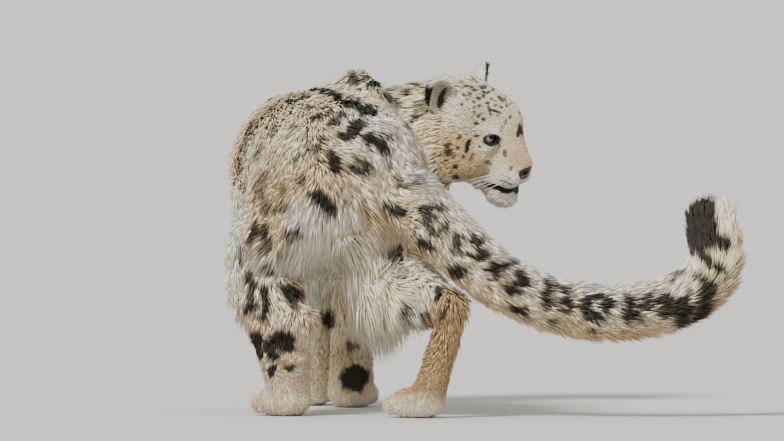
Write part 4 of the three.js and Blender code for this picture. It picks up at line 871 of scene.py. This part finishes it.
def ear_colour(base, p, turned, h, name):
    """An ear: pale on its rim and inside, dark behind, with painted shade in its opening."""
    s = SIDES[name]
    q = h - np.array(EAR_AT[name]) * [1, s, 1]
    face = unit(np.array([0.78, 0.6 * s, 0]))
    reach = smooth(ear_distance(p, name), 11, 7) * smooth(q[:, 2], -34, -24)
    ahead, across, up = q @ face, q @ np.array([0.6, -0.78 * s, 0]), q[:, 2]
    off_middle = np.hypot((across + 4) / EAR_WIDE, up / EAR_HIGH)
    behind = smooth(-(turned @ face), 0.05, 0.35) * smooth(off_middle, 0.3, 0.6)
    edge = smooth(-across, 19, 23) * (1 - smooth(up, 14, 28))
    # Painted shade in the ear's opening: a dark slot where its hollow lies in shadow.
    opening_shade = blot(np.hypot((across - 5 - up * 0.12) / 5.5, (up + 8) / 24)) * smooth(turned @ face, 0.0, 0.3)
    back = np.maximum(behind, edge)
    if name == "left":
        base_spot = blot(np.hypot((ahead + 12) / 12, (up + 24) / 12))
        back = np.maximum(base_spot, smooth(ahead, 0, 4) * smooth(up, -25, -15))
    inner = mix(WHITE * 0.92, TAN, 0.35 * smooth(up, 0, -20))
    return mix(base, mix(inner, BLACK, np.maximum(back, opening_shade * 0.9)), reach)


def paint(p, n, found):
    """The colour of coat or skin at points on the body."""
    h = to_head(p)
    on_tail = 1.0 * (found["tail"] < np.minimum(found["core"], found["hindleg_right"]) + 4)
    base = leg_colour(body_colour(p, n, found, on_tail), p, found)
    base = mix(base, BLACK, markings(p, n) * 0.97)
    on_head = smooth(found["head"] - found["core"], 5, -2) * smooth(h[:, 0], -75, -66)
    on_head = on_head * (found["tail"] > 20)
    base = mix(base, head_colour(p, n, h, mirrored(h)), on_head)
    for name in SIDES:
        base = ear_colour(base, p, n @ HEAD.T, h, name)
    return np.clip(base, 0.004, 0.92)


def set_colour(mesh, colour):
    """Gives each vertex its colour."""
    layer = mesh.color_attributes.new("coat", "FLOAT_COLOR", "POINT")
    opaque = np.column_stack([colour, np.ones(len(colour))])
    layer.data.foreach_set("color", opaque.astype(np.float32).ravel())


def make_mesh(name, verts, tris):
    """A smooth mesh in the row frame from arrays of points in millimetres and triangles."""
    out = bpy.data.meshes.new(name)
    out.vertices.add(len(verts))
    out.vertices.foreach_set("co", to_row(verts).astype(np.float32).ravel())
    out.loops.add(len(tris) * 3)
    out.loops.foreach_set("vertex_index", tris.astype(np.int32).ravel())
    out.polygons.add(len(tris))
    out.polygons.foreach_set("loop_start", np.arange(0, len(tris) * 3, 3, dtype=np.int32))
    out.polygons.foreach_set("use_smooth", np.ones(len(tris), bool))
    out.update(calc_edges=True)
    out.validate()
    obj = bpy.data.objects.new(name, out)
    bpy.context.collection.objects.link(obj)
    return obj


def material(name, roughness, colour=None, coat=0.0, bump=0.0):
    """A finish whose colour is the mesh's own unless one is given, with fine bumps where asked."""
    mat = bpy.data.materials.new(name)
    mat.use_nodes = True
    shader = mat.node_tree.nodes["Principled BSDF"]
    shader.inputs["Roughness"].default_value = roughness
    shader.inputs["Coat Weight"].default_value = coat
    shader.inputs["Specular IOR Level"].default_value = 0.25
    if colour is None:
        source = mat.node_tree.nodes.new("ShaderNodeAttribute")
        source.attribute_name = "coat"
        mat.node_tree.links.new(source.outputs["Color"], shader.inputs["Base Color"])
    else:
        shader.inputs["Base Color"].default_value = (*colour, 1)
    if bump:
        place = mat.node_tree.nodes.new("ShaderNodeTexCoord")
        grain = mat.node_tree.nodes.new("ShaderNodeTexNoise")
        grain.inputs["Scale"].default_value = 420
        relief = mat.node_tree.nodes.new("ShaderNodeBump")
        relief.inputs["Strength"].default_value = bump
        relief.inputs["Distance"].default_value = 0.0012
        mat.node_tree.links.new(place.outputs["Object"], grain.inputs["Vector"])
        mat.node_tree.links.new(grain.outputs["Fac"], relief.inputs["Height"])
        mat.node_tree.links.new(relief.outputs["Normal"], shader.inputs["Normal"])
    return mat


fur = material("fur", 0.8)
hide = material("hide", 0.75, bump=0.8)
leather = material("leather", 0.38, coat=0.2, bump=0.35)

# The faces of a lock and its patch on the map, whose full and half turns are taken a little too large
TRIS = np.array([[0, 1, 4], [0, 4, 2], [1, 3, 4], [0, 2, 3], [0, 3, 1], [2, 4, 5], [4, 3, 5], [3, 2, 5]])
PATCH = np.array([[-1, -1], [1, -1], [-1, 0], [1, 0], [0, 0.3], [0, 1]]) * 0.0013
FULL_TURN, HALF_TURN = 6.3, 3.2
PIECE_TUFTS = 24000


def unwrap(p, part):
    """Where a root lies on an unwrap of its own region of the skin."""
    if part in ("head", "ears"):
        h = to_head(p) - [10, 0, -5]
        around, rise = np.arctan2(h[:, 1], h[:, 0]), np.arcsin(unit(h)[:, 2])
        return np.column_stack([around / FULL_TURN + 0.5, rise / HALF_TURN + 0.5])
    rings = {"core": spine, "tail": tail}.get(part) or legs[part]
    along, _, angle = limb_place(p, rings)
    return np.column_stack([angle / FULL_TURN + 0.5, along * 0.98 + 0.01])


def make_coat():
    """Closed flat locks: two root points, three half way and a tip, in pieces of one region each."""
    grain = rng.normal(1, 0.10, (TUFTS, 1)) + rng.normal(0, 0.02, (TUFTS, 3))
    half_way, near_tip = [np.clip(paint(q, normal, parts_of(q)) * grain, 0.003, 0.93)
                          for q in (middle, middle + (tip - middle) * 0.6)]
    half = side * (width * 0.5)[:, None]
    ridge = unit(np.cross(side, tip - root))
    ridge = ridge * np.sign(dot(ridge, normal))[:, None]
    lock = np.stack([start - half, start + half, middle - half * 0.9, middle + half * 0.9,
                     middle + ridge * (width * 0.3)[:, None], tip], 1)
    # Painted shade: each lock's two root corners are darker, and browner on the body and legs; its tip is a
    # little lighter.
    shade = np.array([0.7, 0.7, 0.97, 0.97, 1.0, 1.05])[None, :, None]
    colour = np.stack([half_way] * 5 + [near_tip], 1) * shade
    colour[:, :2] *= np.array([1.0, 0.86, 0.7]) ** np.where(is_head | is_ear, 0, 1)[:, None, None]
    colour = np.clip(colour, 0, 0.95)
    pieces = []
    for i, part in enumerate(PARTS):
        mine = np.flatnonzero(region == i)
        if not len(mine):
            continue
        place = unwrap(root[mine], part)
        count = int(np.ceil(len(mine) / PIECE_TUFTS))
        mine = mine[np.argsort(place[:, 1] if part != "head" else place[:, 0])]
        for k, some in enumerate(np.array_split(mine, count)):
            name = f"coat_{part}" + (f"_{k + 1}" if count > 1 else "")
            tris = (TRIS[None] + np.arange(len(some))[:, None, None] * 6).reshape(-1, 3)
            obj = make_mesh(name, lock[some].reshape(-1, 3), tris)
            set_colour(obj.data, colour[some].reshape(-1, 3))
            at = np.clip(unwrap(root[some], part), 0.003, 0.997)
            uv = (at[:, None] + PATCH[None]).reshape(-1, 2)
            layer = obj.data.uv_layers.new(name="OFBake")
            layer.data.foreach_set("uv", uv[tris.ravel()].astype(np.float32).ravel())
            obj.data.materials.append(fur)
            pieces.append(obj)
    return pieces


skin = make_mesh("skin_body", points, faces)
# The skin is painted 8% darker than the coat's colour, as painted shade under the tufts.
set_colour(skin.data, paint(points, normals, skin_found) * 0.92)
skin.data.materials.append(hide)
skin.data.materials.append(leather)
middles = to_head(points[faces].mean(1))
bare = np.maximum(*nose_and_rims(middles, mirrored(middles))) * (np.linalg.norm(middles, axis=1) < 200) > 0.5
skin.data.polygons.foreach_set("material_index", bare.astype(np.int32))
layer = skin.data.uv_layers.new(name="OFBake")
around = np.zeros((len(points), 2))
for i, part in enumerate(PARTS):
    mine = skin_part == i
    around[mine] = unwrap(points[mine], part)
    around[mine, 0] = (around[mine, 0] + i % 3) / 3
    around[mine, 1] = (around[mine, 1] + i // 3) / 3
layer.data.foreach_set("uv", around[faces.ravel()].astype(np.float32).ravel())
coat = make_coat()
for piece in coat + [skin]:
    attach(piece, "root")
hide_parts(*[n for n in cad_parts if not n.startswith("eye")])


GAZE = {"eye_right": [0.6, -0.8, 0.02], "eye_left": [0.8, -0.45, 0.0]}
wet = material("eye", 0.08, coat=1.0)
wet.node_tree.nodes["Principled BSDF"].inputs["Specular IOR Level"].default_value = 0.5


def make_eye(name, s):
    """A glossy ball with a pale iris and a dark pupil where it looks."""
    centre = from_head(EYE_AT * [1, s, 1])
    bpy.ops.mesh.primitive_uv_sphere_add(segments=64, ring_count=48, radius=EYE_RADIUS / 1000)
    ball = bpy.context.object
    ball.name = name
    gaze = unit(GAZE[name])
    turn = Vector((0, 0, 1)).rotation_difference(Vector(gaze))
    co = np.array([v.co for v in ball.data.vertices])
    polar = np.arccos(np.clip(unit(co)[:, 2], -1, 1))
    angle = np.arctan2(co[:, 1], co[:, 0])
    iris = np.array([0.27, 0.31, 0.31]) * (1 + 0.18 * np.sin(angle * 23) + 0.1 * np.sin(angle * 57))[:, None]
    iris = mix(iris * 1.15, iris * 0.55, smooth(polar, 0.35, 0.66))
    colour = mix(iris, np.array([0.05, 0.035, 0.025]), smooth(polar, 0.60, 0.70))
    colour = mix(colour, np.array([0.004, 0.004, 0.004]), smooth(polar, 0.27, 0.21))
    set_colour(ball.data, colour)
    ball.data.transform(turn.to_matrix().to_4x4())
    ball.data.transform(Matrix.Translation(Vector(to_row(centre))))
    for f in ball.data.polygons:
        f.use_smooth = True
    ball.data.materials.append(wet)
    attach(ball, "root")
    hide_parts(name)


make_eye("eye_right", -1)
make_eye("eye_left", 1)

WHISKERS = {"length": 74, "thick": 0.55, "steps": 7, "sides": 4, "bend": np.array([-0.25, 0, -0.22])}


def hair_points(foot, aim, size):
    """Rings of a thin bent cone from its foot, and then its tip."""
    steps, sides, bend = [WHISKERS[k] for k in ("steps", "sides", "bend")]
    along = aim @ HEAD
    u = unit(np.cross(along, [0, 0, 1]))
    w = np.cross(u, along)
    found = []
    for i in range(steps):
        t = i / steps
        v = aim * size * t + bend * size * t * t
        middle = foot + v @ HEAD - along * 1.5 * (i == 0)
        for j in range(sides):
            turn = 2 * math.pi * j / sides
            found.append(middle + (u * math.cos(turn) + w * math.sin(turn)) * WHISKERS["thick"] * (1 - t))
    return found + [foot + (aim * size + bend * size) @ HEAD]


def hair_faces(first):
    """Triangles of such a cone, closed at both ends."""
    steps, sides = WHISKERS["steps"], WHISKERS["sides"]
    found = [[first, first + 2, first + 1], [first, first + 3, first + 2]]
    top = first + (steps - 1) * sides
    for j in range(sides):
        after = (j + 1) % sides
        for i in range(steps - 1):
            a, b = first + i * sides + j, first + i * sides + after
            found += [[a, b, b + sides], [a, b + sides, a + sides]]
        found.append([top + j, top + after, top + sides])
    return found


def make_whiskers():
    """Four rows of long hairs on each side of the muzzle, which curve back and down."""
    verts, tris = [], []
    for s in SIDES.values():
        for row in range(4):
            for k in range(4 if row % 2 else 3):
                foot = from_head([120 - 7.5 * k - 2 * row, s * 60.0, -40 - 5.5 * row])
                inward = from_head([0, -s, 0]) - HEAD_AT
                foot = foot + inward * max(0, skin_distance(foot[None])[0])
                foot = settle(skin_distance, foot[None], 4)[0]
                size = WHISKERS["length"] * rng.uniform(0.7, 1.1) * (1 - 0.12 * row)
                aim = unit([-0.5 + rng.normal() * 0.12, s * 0.8, -0.1 - 0.1 * row + rng.normal() * 0.08])
                tris += hair_faces(len(verts))
                verts += hair_points(foot, aim, size)
    obj = make_mesh("whiskers", np.array(verts), np.array(tris))
    obj.data.materials.append(material("whisker", 0.35, (0.86, 0.84, 0.78)))
    return obj


whiskers = make_whiskers()
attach(whiskers, "root")

# Floor, light and camera
FLOOR_RADIUS, SKY, SKY_STRENGTH = 90, (0.86, 0.85, 0.83, 1), 0.85
SUN_ENERGY, SUN_SPREAD, SUN_AIM = 4.6, math.radians(14), Vector((0.42, 0.72, -0.7))
DISTANCE, CLIP_END = 36.0, 200
VIEW_WIDTH, VIEW_MIDDLE, SENSOR = 1.4112, 355.5, 36
bpy.ops.mesh.primitive_circle_add(vertices=96, radius=FLOOR_RADIUS, fill_type="NGON", location=(0, 0, 0))
floor = bpy.context.object
floor.name = "floor"
floor.data.materials.append(material("floor", 0.9, (0.62, 0.60, 0.57)))
world = bpy.data.worlds.new("studio")
bpy.context.scene.world = world
world.use_nodes = True
world.node_tree.nodes["Background"].inputs["Color"].default_value = SKY
world.node_tree.nodes["Background"].inputs["Strength"].default_value = SKY_STRENGTH
sun = bpy.data.objects.new("sun", bpy.data.lights.new("sun", "SUN"))
sun.data.energy = SUN_ENERGY
sun.data.angle = SUN_SPREAD
sun.rotation_euler = SUN_AIM.to_track_quat("-Z", "Y").to_euler()
bpy.context.collection.objects.link(sun)

camera = bpy.data.objects.new("camera", bpy.data.cameras.new("camera"))
bpy.context.collection.objects.link(camera)
camera.data.lens = SENSOR * DISTANCE / VIEW_WIDTH
camera.data.clip_end = CLIP_END
target = to_row([0, 0, VIEW_MIDDLE / math.cos(VIEW_TILT)])
back = np.array([0, -math.cos(VIEW_TILT), math.sin(VIEW_TILT)])
camera.location = Vector(target + back * DISTANCE)
camera.rotation_euler = Vector(-back).to_track_quat("-Z", "Y").to_euler()
bpy.context.scene.camera = camera
